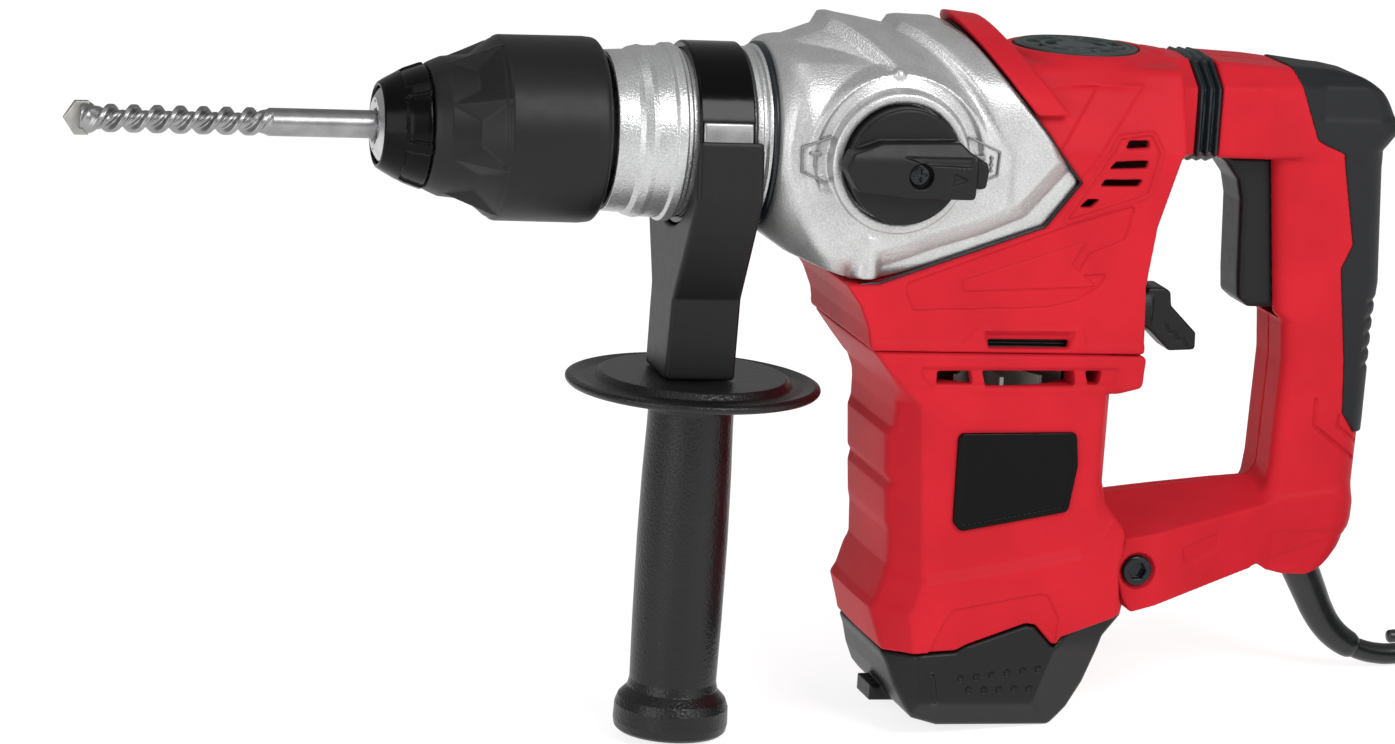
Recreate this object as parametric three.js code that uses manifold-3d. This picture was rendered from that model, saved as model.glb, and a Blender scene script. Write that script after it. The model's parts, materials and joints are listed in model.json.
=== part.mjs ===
// Rotary hammer with a vertical motor, built in millimetres with +Z up.
//
// Every piece is drawn in the tool's own frame: X runs along the spindle towards the rear, the
// spindle axis is z = 0, the motor axis is x = 0, and y = 0 is the plane of symmetry. The whole
// tool is then pitched nose up, so that it stands on its side handle and its motor cap, and moved
// so that the origin lies on the floor under the middle of it. The mains lead lies on that floor.

import * as THREE from 'three';
import { mergeVertices } from 'three/addons/utils/BufferGeometryUtils.js';
import Module from 'manifold-3d';

// ---- driving dimensions ----------------------------------------------------------------------

const FIT = 0.3; // gap left between pieces that touch
const RUN = 0.5; // gap left between pieces that move past each other

const NOSE_X = -228.5; // front of the chuck
const BIT_TIP_X = -339.5;
const BIT_R = 5;
const FLUTE_PITCH = 16.3;
const SLEEVE_FRONT_X = -206.4;
const SLEEVE_REAR_X = -149.5;
const SLEEVE_R = 33.3;
const COLLAR_FRONT_X = -147;
const COLLAR_REAR_X = -88.3;
const HOLDER_R = 16;
const CYLINDER_R = 17;
const BORE_R = 12.5;

const BODY_HALF = 40; // half width of the gearbox and the upper cover
const MOTOR_HALF = 41;
const VAULT_R = 46; // vault of the gearbox roof
const WALL = 4;
const SEAM_Z = -71; // between upper cover and motor housing
const CAP_FLAT_Z = -212; // flat underside of the motor cap
const CAP_FLAT_REAR_X = 28;

const KNOB = { x: -47, z: -2.4, r: 21, boss: 25.2, face: -43, front: -57 };

const SIDE_X = -106.5; // axis of the side handle
const SIDE_FLANGE_R = 46.5;
const SIDE_END_R = 21.5;
const SIDE_END_Z = -222.5;

const PINION = { teeth: 7, module: 1, x: 0 };
const CRANK = { teeth: 41, x: 24, throw: 8, top: -8, bottom: -16 };
const MIDDLE = { teeth: 45, x: -26, top: -25, bottom: -31 };
const BEVEL = { teeth: 8, r: 7, top: -18.3, bottom: -24.2 };
const CROWN = { teeth: 24, r: 21, inner: 18.5, outer: 23.5 };

const HANDLE_BACK_X = 149;
const HANDLE_PIVOT = { x: 58, z: -153.5, r: 5 };
const TRIGGER_PIVOT = { x: 116, z: -7 };
const ARM_FRONT_X = 78; // front of the upper arm, where the bellows end
const COVER_REAR_X = 61.2;

// Pitch that sets the side handle's end and the rear edge of the motor cap on one plane.
const PITCH = Math.atan2(CAP_FLAT_Z - SIDE_END_Z, CAP_FLAT_REAR_X - (SIDE_X + SIDE_END_R - 1.5));

const CORD_D = 8;
const BOOT = { length: 44, r0: 7.2, r1: 5 };
const EXIT = { x: 133.5, z: -158 }; // where the lead leaves the rear handle
const LEAD_SLOPE = THREE.MathUtils.degToRad(68); // of the lead at its exit, below the floor's level

// The lead's axis from the rear handle to its coil, in the row frame: straight out and down,
// round to the floor, then along it to where the first turn begins.
const ROUTE = [
  [209.7, 5.25, 44.1], [211.5, 5.25, 39.6], [213.4, 5.25, 34.9], [215.3, 5.25, 30.2], [217.2, 5.25, 25.5],
  [220.6, 5.25, 19.2], [225.1, 5.25, 13.7], [230.7, 5.25, 9.4], [237.1, 5.25, 6.3], [244, 5.25, 4.6],
  [249.5, 5.25, 4.2], [258.5, 5.25, 4.2], [268.5, 5.25, 4.2], [278.5, 5.25, 4.2], [289.5, 5.25, 4.2],
  [300.5, 5.25, 4.2],
];
const COIL = { x: 300.5, y: -54.75, outerTurn: 60, columns: 3, layers: 3, pitch: 8.1 };
const LEAD_END_X = 269; // where the straight lead meets the side of the coil
const TAIL_RISE = 17.6; // from the coil's top layer up to the plug
const PLUG = { height: 26, rear: 4, tail: 22, body: 44 };

// ---- solids ----------------------------------------------------------------------------------

const wasm = await Module();
wasm.setup();

/** A closed three.js geometry as a manifold solid with its faces pointing out. */
function solid(geometry) {
  const plain = geometry.clone();
  plain.deleteAttribute('normal');
  plain.deleteAttribute('uv');
  const merged = mergeVertices(plain, 1e-3);
  const points = merged.attributes.position.array;
  const corners = [];
  let volume = 0;
  const at = (i) => new THREE.Vector3().fromArray(points, 3 * i);
  for (let i = 0; i < merged.index.count; i += 3) {
    const [a, b, c] = [0, 1, 2].map((k) => merged.index.array[i + k]);
    if (a === b || b === c || c === a) continue;
    corners.push(a, b, c);
    volume += at(a).dot(at(b).cross(at(c)));
  }
  if (volume < 0) corners.reverse();
  const mesh = new wasm.Mesh({
    numProp: 3,
    vertProperties: Float32Array.from(points),
    triVerts: Uint32Array.from(corners),
  });
  return new wasm.Manifold(mesh);
}

/** A manifold solid as a flat-shaded geometry. */
function geometryOf(body) {
  const mesh = body.getMesh();
  const geometry = new THREE.BufferGeometry();
  geometry.setAttribute('position', new THREE.BufferAttribute(mesh.vertProperties, 3));
  geometry.setIndex(new THREE.BufferAttribute(mesh.triVerts, 1));
  const flat = geometry.toNonIndexed();
  flat.computeVertexNormals();
  return flat;
}

const join = (first, ...rest) => rest.reduce((all, next) => all.add(next), first);
const cut = (first, ...rest) => rest.reduce((all, next) => all.subtract(next), first);
const common = (first, ...rest) => rest.reduce((all, next) => all.intersect(next), first);

function box(x0, x1, y0, y1, z0, z1) {
  const geometry = new THREE.BoxGeometry(x1 - x0, y1 - y0, z1 - z0);
  geometry.translate((x0 + x1) / 2, (y0 + y1) / 2, (z0 + z1) / 2);
  return solid(geometry);
}

/** A profile of [distance along the axis, radius] turned about an axis through (x, y, z). */
function turned(profile, axis, { x = 0, y = 0, z = 0 } = {}, sides = 24) {
  const points = profile.map(([along, radius]) => new THREE.Vector2(radius, along));
  const onAxis = profile[0][1] === 0 && profile.at(-1)[1] === 0;
  if (!onAxis) points.push(points[0].clone());
  const geometry = new THREE.LatheGeometry(points, sides);
  if (axis === 'x') geometry.rotateZ(-Math.PI / 2);
  if (axis === 'z') geometry.rotateX(Math.PI / 2);
  geometry.translate(x, y, z);
  return solid(geometry);
}

/** A plain round bar, or a ring when an inner radius is given. */
function round(axis, from, to, outer, place = {}, inner = 0, sides = 24) {
  const start = inner ? [from, inner] : [from, 0];
  const end = inner ? [to, inner] : [to, 0];
  return turned([start, [from, outer], [to, outer], end], axis, place, sides);
}

function shapeOf(outline) {
  return new THREE.Shape(outline.map(([a, b]) => new THREE.Vector2(a, b)));
}

/** A side outline of [x, z] points, extruded across the tool from y0 to y1. */
function sideways(outline, y0, y1) {
  const options = { depth: y1 - y0, bevelEnabled: false };
  const geometry = new THREE.ExtrudeGeometry(shapeOf(outline), options);
  geometry.rotateX(Math.PI / 2);
  geometry.translate(0, y1, 0);
  return solid(geometry);
}

/** A section of [y, z] points, extruded along the tool from x0 to x1. */
function lengthways(section, x0, x1) {
  const options = { depth: x1 - x0, bevelEnabled: false };
  const geometry = new THREE.ExtrudeGeometry(shapeOf(section), options);
  geometry.rotateY(Math.PI / 2);
  geometry.rotateX(Math.PI / 2);
  geometry.translate(x0, 0, 0);
  return solid(geometry);
}

/** A plan of [x, y] points, extruded upwards from z0 to z1. */
function upwards(plan, z0, z1) {
  const options = { depth: z1 - z0, bevelEnabled: false };
  const geometry = new THREE.ExtrudeGeometry(shapeOf(plan), options);
  geometry.translate(0, 0, z0);
  return solid(geometry);
}

/** Half of a symmetric section, given for y >= 0 from top to bottom, mirrored to a whole one. */
function mirrored(half) {
  const other = half.map(([y, z]) => [-y, z]).reverse();
  return [...half, ...other];
}

/** A rectangle with cut corners, about (cx, cy). */
function chamfered(halfX, halfY, corner, cx = 0, cy = 0) {
  const [x, y, c] = [halfX, halfY, corner];
  const points = [
    [x, y - c], [x - c, y], [c - x, y], [-x, y - c],
    [-x, c - y], [c - x, -y], [x - c, -y], [x, c - y],
  ];
  return points.map(([px, py]) => [px + cx, py + cy]);
}

/** The plan of a spur gear with slim straight-sided teeth, first tooth at the given angle. */
function gearPlan(teeth, module, cx, cy, first) {
  const pitchR = (teeth * module) / 2;
  const tipR = pitchR + 0.6 * module;
  const rootR = pitchR - 0.85 * module;
  const step = (2 * Math.PI) / teeth;
  const corners = [[rootR, -0.24], [tipR, -0.1], [tipR, 0.1], [rootR, 0.24]];
  const plan = [];
  for (let i = 0; i < teeth; i += 1) {
    for (const [r, share] of corners) {
      const angle = first + (i + share) * step;
      plan.push([cx + r * Math.cos(angle), cy + r * Math.sin(angle)]);
    }
  }
  return plan;
}

// ---- the assembly ----------------------------------------------------------------------------

const tool = new THREE.Group();
const lead = new THREE.Group();

const FINISH = {
  red: { color: 0xd2121f, roughness: 0.42, metalness: 0 },
  black: { color: 0x1c1c1e, roughness: 0.5, metalness: 0 },
  rubber: { color: 0x232426, roughness: 0.8, metalness: 0 },
  gloss: { color: 0x141416, roughness: 0.2, metalness: 0 },
  casting: { color: 0xb9bbbd, roughness: 0.45, metalness: 0.8 },
  steel: { color: 0x9a9a9c, roughness: 0.35, metalness: 1 },
  darkSteel: { color: 0x55565a, roughness: 0.5, metalness: 0.8 },
  carbide: { color: 0x6f7072, roughness: 0.4, metalness: 1 },
  copper: { color: 0xb56a3a, roughness: 0.4, metalness: 0.9 },
  brass: { color: 0xc9a24a, roughness: 0.35, metalness: 1 },
  carbon: { color: 0x2b2b2d, roughness: 0.7, metalness: 0.1 },
};

function add(name, body, finish, group = tool) {
  const mesh = new THREE.Mesh(geometryOf(body), new THREE.MeshStandardMaterial(FINISH[finish]));
  mesh.name = name;
  group.add(mesh);
}

// ---- bit, chuck and spindle --------------------------------------------------------------------

/** The fluted front of the bit: an oval section that turns as it runs along the axis. */
function flutes(from, to) {
  const sides = 8;
  const stepsPerTurn = 8;
  const count = Math.round(((to - from) / FLUTE_PITCH) * stepsPerTurn);
  const oval = new THREE.Shape();
  for (let i = 0; i < sides; i += 1) {
    const angle = (2 * Math.PI * i) / sides;
    const point = [BIT_R * Math.cos(angle), 0.62 * BIT_R * Math.sin(angle)];
    if (i) oval.lineTo(...point);
    else oval.moveTo(...point);
  }
  const options = { depth: to - from, steps: count, bevelEnabled: false };
  const geometry = new THREE.ExtrudeGeometry(oval, options);
  const place = geometry.attributes.position;
  for (let i = 0; i < place.count; i += 1) {
    const along = place.getZ(i);
    const turn = (-2 * Math.PI * along) / FLUTE_PITCH;
    const [a, b] = [place.getX(i), place.getY(i)];
    place.setXYZ(
      i,
      from + along,
      a * Math.cos(turn) - b * Math.sin(turn),
      a * Math.sin(turn) + b * Math.cos(turn),
    );
  }
  return solid(geometry);
}

function addBit() {
  const shankRear = -181;
  const fluteEnd = -268;
  const headEnd = BIT_TIP_X + 6;
  const rod = round('x', fluteEnd - 1, shankRear, BIT_R, {}, 0, 20);
  const slots = [-1, 1].map((side) => box(-207, -188, side > 0 ? 4 : -6, side > 0 ? 6 : -4, -3.6, 3.6));
  const headProfile = [[headEnd, 0], [headEnd, 5], [headEnd + 2, 5.6], [headEnd + 8, 5.2], [headEnd + 8, 0]];
  const head = turned(headProfile, 'x', {}, 20);
  add('drill_bit', cut(join(flutes(headEnd + 6, fluteEnd), rod, head), ...slots), 'steel');
  const edge = sideways([[BIT_TIP_X, 0], [headEnd - FIT, -6], [headEnd - FIT, 6]], -1.4, 1.4);
  add('carbide_tip', edge, 'carbide');
}

function addChuck() {
  const nose = [[NOSE_X, 15.1], [NOSE_X + 2.5, 16.6], [-210.3, 22.8], [-206.7, 23.6]];
  const seat = [[-206.7, HOLDER_R + FIT], [-221, HOLDER_R + FIT], [-221, 12.3], [NOSE_X, 12.3]];
  add('chuck_front_cap', turned([...nose, ...seat], 'x', {}, 28), 'gloss');

  const ring = [[NOSE_X - 0.7, 6.4], [NOSE_X - 0.7, 10.5], [NOSE_X + 1, 12], [-222, 12], [-222, 6.4]];
  add('chuck_front_ring', turned(ring, 'x'), 'steel');

  const outside = [[SLEEVE_FRONT_X, 23.6], [-196.9, 28.5], [-190.6, 31.2], [-186.3, 32.7],
    [-155, SLEEVE_R], [-151, 32.9], [SLEEVE_REAR_X, 31.8]];
  const inside = [[SLEEVE_REAR_X, 30.4], [-188, 28.6], [-194, 23.5], [-198, HOLDER_R + RUN],
    [SLEEVE_FRONT_X, HOLDER_R + RUN]];
  add('chuck_sleeve', turned([...outside, ...inside], 'x', {}, 28), 'black');
}

/** A helical spring of round wire about the X axis. */
function spring(from, to, radius, wire, turns) {
  const stepsPerTurn = 9;
  const points = [];
  for (let i = 0; i <= turns * stepsPerTurn; i += 1) {
    const angle = (2 * Math.PI * i) / stepsPerTurn;
    const along = from + ((to - from) * i) / (turns * stepsPerTurn);
    points.push(new THREE.Vector3(along, radius * Math.cos(angle), radius * Math.sin(angle)));
  }
  const hexagon = [0, 60, 120, 180, 240, 300].map((degrees) => {
    const angle = THREE.MathUtils.degToRad(degrees);
    return [wire * Math.cos(angle), wire * Math.sin(angle)];
  });
  const path = new THREE.CatmullRomCurve3(points);
  const options = { steps: turns * stepsPerTurn, extrudePath: path, bevelEnabled: false };
  return solid(new THREE.ExtrudeGeometry(shapeOf(hexagon), options));
}

function addSpindle() {
  const holder = turned([[-220.5, 5.4], [-220.5, HOLDER_R], [-160, HOLDER_R], [-160, 15], [-100, 15],
    [-100, 8.3], [-180, 8.3], [-180, 5.4]], 'x');
  const windows = [-1, 1].map((side) => box(-205, -190, side > 0 ? 5 : -17, side > 0 ? 17 : -5, -3.6, 3.6));
  add('tool_holder', cut(holder, ...windows), 'steel');
  for (const [name, side] of [['locking_ball_near', -1], ['locking_ball_far', 1]]) {
    const ball = new THREE.SphereGeometry(3.3, 12, 8);
    ball.translate(-199, side * 7.7, 0);
    add(name, solid(ball), 'steel');
  }
  add('sleeve_spring', spring(-190, -162, 21, 0.9, 4), 'darkSteel');
  add('cylinder', round('x', -99.5, -8, CYLINDER_R, {}, BORE_R), 'steel');
  const boltProfile = [[-176, 0], [-176, 5.2], [-168, 8], [-112, 8], [-112, 0]];
  add('impact_bolt', turned(boltProfile, 'x', {}, 20), 'darkSteel');
  const strikerProfile = [[-98, 0], [-98, 7], [-90, 7], [-90, 12.2], [-68, 12.2], [-68, 0]];
  add('striker', turned(strikerProfile, 'x', {}, 24), 'darkSteel');
}

/** The gear on the cylinder: radial teeth on its rear face meet the bevel pinion below. */
function addCrownGear() {
  const toothModule = (2 * BEVEL.r) / BEVEL.teeth;
  const pitchX = MIDDLE.x - BEVEL.r;
  const rootX = pitchX - 0.85 * toothModule;
  const tipX = pitchX + 0.6 * toothModule;
  const step = (2 * Math.PI) / CROWN.teeth;
  const pitch = step * CROWN.r;
  let gear = round('x', rootX - 7, rootX, CROWN.outer, {}, CYLINDER_R + FIT, 24);
  const profile = shapeOf([
    [-0.24 * pitch, rootX - 0.5], [-0.1 * pitch, tipX], [0.1 * pitch, tipX], [0.24 * pitch, rootX - 0.5],
  ]);
  const options = { depth: CROWN.outer - CROWN.inner, bevelEnabled: false };
  for (let i = 0; i < CROWN.teeth; i += 1) {
    const tooth = new THREE.ExtrudeGeometry(profile, options);
    tooth.rotateY(Math.PI);
    tooth.rotateZ(-Math.PI / 2);
    tooth.translate(0, 0, -CROWN.inner);
    tooth.rotateX((i + 0.5) * step);
    gear = gear.add(solid(tooth));
  }
  add('crown_gear', gear, 'darkSteel');
}

function addPistonGroup() {
  const pinX = CRANK.x - CRANK.throw;
  const wrist = { x: -34 };
  const bodyOfPiston = round('x', -52, -28, 12.2, {}, 0, 24);
  const pocket = box(wrist.x - 7.5, -22, -9, 9, -5.5, 5.5);
  const pinHole = round('z', -14, 14, 3.5, wrist, 0, 16);
  add('piston', cut(bodyOfPiston, pocket, pinHole), 'casting');
  add('piston_pin', round('z', -10, 10, 3.2, wrist, 0, 16), 'steel');
  const rod = join(
    box(wrist.x, pinX, -4, 4, -3.5, 3.5),
    round('z', -4, 4, 6.5, wrist, 0, 20),
    round('z', -4, 4, 8, { x: pinX }, 0, 24),
  );
  const eyes = [round('z', -5, 5, 3.5, wrist, 0, 16), round('z', -5, 5, 4.5, { x: pinX }, 0, 20)];
  add('connecting_rod', cut(rod, ...eyes), 'steel');
}

// ---- gear train and motor ----------------------------------------------------------------------

function addGears() {
  const crankPlan = gearPlan(CRANK.teeth, PINION.module, CRANK.x, 0, Math.PI + Math.PI / CRANK.teeth);
  const pin = round('z', CRANK.top - 1, -4.4, 4, { x: CRANK.x - CRANK.throw }, 0, 20);
  const shaft = round('z', -38, CRANK.bottom + 1, 5, { x: CRANK.x }, 0, 20);
  add('crank_gear', join(upwards(crankPlan, CRANK.bottom, CRANK.top), pin, shaft), 'darkSteel');

  const middlePlan = gearPlan(MIDDLE.teeth, PINION.module, MIDDLE.x, 0, 0);
  const hole = round('z', -40, -20, 4 + FIT, { x: MIDDLE.x }, 0, 20);
  add('intermediate_gear', cut(upwards(middlePlan, MIDDLE.bottom, MIDDLE.top), hole), 'darkSteel');

  const bevelPlan = gearPlan(BEVEL.teeth, (2 * BEVEL.r) / BEVEL.teeth, MIDDLE.x, 0, Math.PI);
  const stub = round('z', -39, BEVEL.bottom + 0.5, 4, { x: MIDDLE.x }, 0, 20);
  add('bevel_pinion', join(upwards(bevelPlan, BEVEL.bottom, BEVEL.top), stub), 'darkSteel');
}

function addMotor() {
  const pinion = upwards(gearPlan(PINION.teeth, PINION.module, 0, 0, 0), -34, CRANK.top);
  const shaft = round('z', -189, -33, 4, {}, 0, 20);
  const neck = round('z', -36, -33.5, 2.6, {}, 0, 20);
  add('armature_shaft', join(cut(shaft, box(-5, 5, -5, 5, -36, -32)), neck, pinion), 'steel');

  const slots = 12;
  let core = round('z', -148, -98, 20, {}, 4 + FIT, 24);
  for (let i = 0; i < slots; i += 1) {
    const slot = new THREE.BoxGeometry(5, 2.2, 60);
    slot.translate(18.5, 0, -123);
    slot.rotateZ((2 * Math.PI * i) / slots);
    core = core.subtract(solid(slot));
  }
  add('armature_core', core, 'darkSteel');
  add('commutator', round('z', -172, -157, 13, {}, 4 + FIT, 24), 'copper');

  const blades = 12;
  let fan = join(round('z', -93, -91, 33, {}, 4 + FIT, 24), round('z', -91.5, -80, 8, {}, 4 + FIT, 20));
  for (let i = 0; i < blades; i += 1) {
    const blade = new THREE.BoxGeometry(25, 1.4, 10);
    blade.translate(20, 0, -86.5);
    blade.rotateZ((2 * Math.PI * i) / blades);
    fan = fan.add(solid(blade));
  }
  add('motor_fan', fan, 'black');

  const bore = round('z', -160, -90, 20.8, {}, 0, 24);
  const yoke = round('z', -150, -97, 35.5, {}, 0, 24);
  const windings = [-1, 1].map((side) => box(side > 0 ? 20 : -30, side > 0 ? 30 : -20, -14, 14, -156, -95));
  const windows = [-1, 1].map((side) => box(-10, 10, side > 0 ? 19 : -26, side > 0 ? 26 : -19, -151, -96));
  add('stator', cut(join(yoke, ...windings), bore, ...windows), 'darkSteel');

  add('upper_bearing', round('z', -58, -50, 13, {}, 4 + FIT), 'steel');
  add('lower_bearing', round('z', -187, -179, 11, {}, 4 + FIT), 'steel');
  add('spindle_bearing', round('x', -118, -106, 25.5, {}, 15 + RUN, 32), 'steel');
  for (const [name, side] of [['near', -1], ['far', 1]]) {
    const holder = side > 0 ? box(-5, 5, 17, 33, -169, -160) : box(-5, 5, -33, -17, -169, -160);
    const tunnel = box(-3.6, 3.6, -40, 40, -167.6, -161.4);
    const brush = side > 0
      ? box(-3.3, 3.3, 13.4, 26, -167.3, -161.7)
      : box(-3.3, 3.3, -26, -13.4, -167.3, -161.7);
    add(`brush_holder_${name}`, cut(holder, tunnel), 'brass');
    add(`carbon_brush_${name}`, brush, 'carbon');
  }
}

// ---- housing -----------------------------------------------------------------------------------

// Where the casting meets the red cover, seen from the side: down the rear, then forward below.
const SPLIT = [[-23, 46.5], [-4, 22], [10, 6], [22.2, -8.6], [9.8, -24.8], [-50.8, -46.4]];

/** The vaulted section of the gearbox, or of the room inside its walls when inset by them. */
function gearboxSection(inset = 0) {
  const half = [];
  for (const degrees of [8, 20, 32, 44]) {
    const angle = THREE.MathUtils.degToRad(degrees);
    half.push([(VAULT_R - inset) * Math.sin(angle), (VAULT_R - inset) * Math.cos(angle)]);
  }
  const side = BODY_HALF - inset;
  half.push([side, 20], [side, -38 + inset], [side - 9, -47 + inset]);
  return mirrored(half);
}

function addGearbox() {
  const outline = [...SPLIT, [-58.5, -46.5], [-81, -39], [-88, -34.5], [-88, 34], [-85, 37.8], [-76, 40.2],
    [-72, 43], [-64, 45.6], [-41, 44.5], [-29, 45.5]];
  const outer = common(sideways(outline, -60, 60), lengthways(gearboxSection(), -100, 40));
  const at = { x: KNOB.x, z: KNOB.z };
  const boss = turned([[KNOB.face, 0], [KNOB.face, KNOB.boss], [-36, KNOB.boss + 2], [-36, 0]], 'y', at, 28);
  const seat = round('y', KNOB.face - 1, -38, KNOB.r + RUN, at, 0, 28);
  const room = lengthways(gearboxSection(WALL), -84, 60);
  const mouth = round('x', -90, -80, 26, {}, 0, 32);
  add('gearbox_housing', cut(join(outer, boss), seat, room, mouth), 'casting');

  const collar = [[COLLAR_FRONT_X, 27], [COLLAR_FRONT_X, 28.8], [-138, 29.6], [-124, 31.2], [-119.5, 31.2],
    [-119.5, 29.8], [-96, 29.8], [-96, 31.4], [-91, 33], [COLLAR_REAR_X, 33], [COLLAR_REAR_X, 26]];
  add('barrel_collar', turned(collar, 'x', {}, 28), 'casting');
}

/** The split line moved square to itself, towards the cover. */
function splitMoved(by) {
  const moved = [];
  for (let i = 0; i < SPLIT.length; i += 1) {
    const before = SPLIT[Math.max(i - 1, 0)];
    const after = SPLIT[Math.min(i + 1, SPLIT.length - 1)];
    const along = new THREE.Vector2(after[0] - before[0], after[1] - before[1]).normalize();
    moved.push([SPLIT[i][0] - along.y * by, SPLIT[i][1] + along.x * by]);
  }
  return moved;
}

/** The red cover's section: a roof, sloped shoulders and flat sides, inset for the room inside. */
function coverSection(inset = 0) {
  const side = BODY_HALF - inset;
  const roof = inset ? 37 - inset : 47;
  return mirrored([[22, roof], [30 - inset, 27.5 - 0.3 * inset], [side, 8 - inset / 2], [side, SEAM_Z - 1]]);
}

function addCovers() {
  const section = lengthways(coverSection(), -100, 70);
  const near = splitMoved(FIT);
  const far = splitMoved(1.5);
  const room = lengthways(coverSection(WALL), -66, COVER_REAR_X - 12);
  const strip = sideways([...near, ...far.reverse()], -BODY_HALF + 0.5, BODY_HALF - 0.5);
  add('gasket', cut(common(strip, section), lengthways(coverSection(WALL - 1), -100, 60)), 'rubber');

  const outline = [...splitMoved(1.5 + FIT), [-70.5, -47.4], [-58, -67], [-54, SEAM_Z], [52.3, SEAM_Z],
    [53, -28], [COVER_REAR_X, -1], [COVER_REAR_X, 36.5], [39, 39], [10, 40], [2, 39], [-10, 45]];
  const capSeat = round('z', 37.2, 60, 24.6, { x: 29 }, 0, 28);
  const leverHole = round('x', 45, 60, 7, { z: -61 }, 0, 20);
  add('upper_cover', cut(common(sideways(outline, -60, 60), section), room, capSeat, leverHole), 'red');

  let disc = round('z', 37.5, 40.6, 24, { x: 29 }, 0, 28);
  const ringSlots = 10;
  for (let i = 0; i < ringSlots; i += 1) {
    const slot = new THREE.BoxGeometry(4, 9, 2);
    slot.translate(17, 0, 40.6);
    slot.rotateZ((2 * Math.PI * i) / ringSlots);
    slot.translate(29, 0, 0);
    disc = disc.subtract(solid(slot));
  }
  add('grease_cap', disc, 'black');
}

function addMotorHousing() {
  const top = SEAM_Z - FIT;
  const outline = [[-53, top], [52, top], [51, -84], [41, -86], [41, -119], [42, -128], [50, -138.4],
    [50, -143], [47.6, -147.5], [47.3, -155], [50, -162.3], [53.8, -168.5], [25.3, -179], [17.7, -171],
    [-12, -180.7], [-21, -181.5], [-48, -174], [-48.3, -162.7], [-47.4, -158.2], [-41.8, -146.8],
    [-44.5, -131.6], [-45.8, -119.6], [-46.3, -112.8], [-46, -95], [-48, -79]];
  const half = [[MOTOR_HALF, -60], [MOTOR_HALF, -150], [MOTOR_HALF + 1, -158], [MOTOR_HALF + 1, -190]];
  const plan = chamfered(54, MOTOR_HALF + 1, 14, 0, 0);
  const section = lengthways(mirrored(half), -80, 80);
  const shell = common(sideways(outline, -60, 60), section, upwards(plan, -200, -60));
  const pivot = { x: HANDLE_PIVOT.x, z: HANDLE_PIVOT.z };
  const lug = join(round('y', -11, 11, 9, pivot, 0, 24), box(40, HANDLE_PIVOT.x, -11, 11, -161, -146));
  const pinHole = round('y', -20, 20, HANDLE_PIVOT.r + FIT, pivot, 0, 24);
  const bore = round('z', -200, -60, 36.6, {}, 0, 28);
  const vents = [-24, -8, 8, 24].map((x) => box(x - 6, x + 6, -60, 60, -82.5, -78));
  add('motor_housing', cut(join(shell, lug), bore, pinHole, ...vents), 'red');

  const label = chamfered(20.5, 16, 3, 4.6, -116.6);
  add('label_plate', sideways(label, -MOTOR_HALF - 1.3, -MOTOR_HALF - FIT), 'gloss');
}

function addMotorCap() {
  const g = FIT;
  const outline = [[-48, -174 - g], [-21, -181.5 - g], [-12, -180.7 - g], [17.7, -171 - g], [25.3, -179 - g],
    [52.6, -169.2 - g], [55, -174], [48, -199], [40, -207], [CAP_FLAT_REAR_X, CAP_FLAT_Z],
    [-16.6, CAP_FLAT_Z], [-30, -206], [-34, -200], [-43, -183]];
  const half = [[MOTOR_HALF + 1, -160], [MOTOR_HALF + 1, -184], [33, CAP_FLAT_Z - 1]];
  const plan = chamfered(58, MOTOR_HALF + 1, 14);
  const section = lengthways(mirrored(half), -80, 80);
  const shell = common(sideways(outline, -60, 60), section, upwards(plan, -230, -150));
  const foot = box(-35, -27, -8, 8, -209.5, -199);
  const room = round('z', -195, -150, 33, {}, 0, 24);
  const places = [['front', -24], ['rear', 26]];
  const sinks = places.map(([, x]) => round('z', -220, -207, 3.6, { x }, 0, 16));
  add('motor_end_cap', cut(join(shell, foot), room, ...sinks), 'black');
  for (const [name, x] of places) {
    add(`cap_screw_${name}`, round('z', -210.5, -207 - g, 3.2, { x }, 0, 16), 'steel');
  }
}

// ---- controls ----------------------------------------------------------------------------------

function addKnob() {
  const at = { x: KNOB.x, z: KNOB.z };
  const rim = [[-50, 0], [-50, KNOB.r - 1.5], [-48.5, KNOB.r], [-38.6, KNOB.r], [-38.6, 0]];
  const disc = turned(rim, 'y', at, 28);
  const bar = sideways([[-71, -7], [-71, 2], [-68, 5.5], [-30, 5.5], [-20, 3], [-18.5, -1], [-19, -8],
    [-28, -10.5], [-68, -10.5]], KNOB.front, -49);
  const sink = round('y', -60, -53.5, 4.4, { x: -43.5, z: KNOB.z - 2 }, 0, 20);
  add('selector_knob', cut(join(disc, bar), sink), 'black');
  add('knob_screw', round('y', -55, -53.5 - FIT, 4, { x: -43.5, z: KNOB.z - 2 }, 0, 20), 'steel');
}

function addRearLever() {
  const hub = round('x', 48, 66, 6.5, { z: -61 }, 0, 20);
  const collar = round('x', 53.8, 66, 9, { z: -61 }, 0, 20);
  const blade = [[63, -52.5], [71.5, -54], [85, -69], [84.5, -76.5], [74, -76.5], [63, -68]];
  const paddle = sideways(blade, -7, 7);
  add('rotation_lever', join(hub, collar, paddle), 'black');
}

function addTrigger() {
  const outline = [[84, -1.8], [110, -1.8], [120, -1.8], [121, -14], [119, -58.5], [98.5, -58.5], [96, -54],
    [93.5, -16], [89, -6]];
  const pinHole = round('y', -20, 20, 2.3, TRIGGER_PIVOT, 0, 16);
  add('trigger', cut(sideways(outline, -11, 11), pinHole), 'black');
}

// ---- side handle -------------------------------------------------------------------------------

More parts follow.
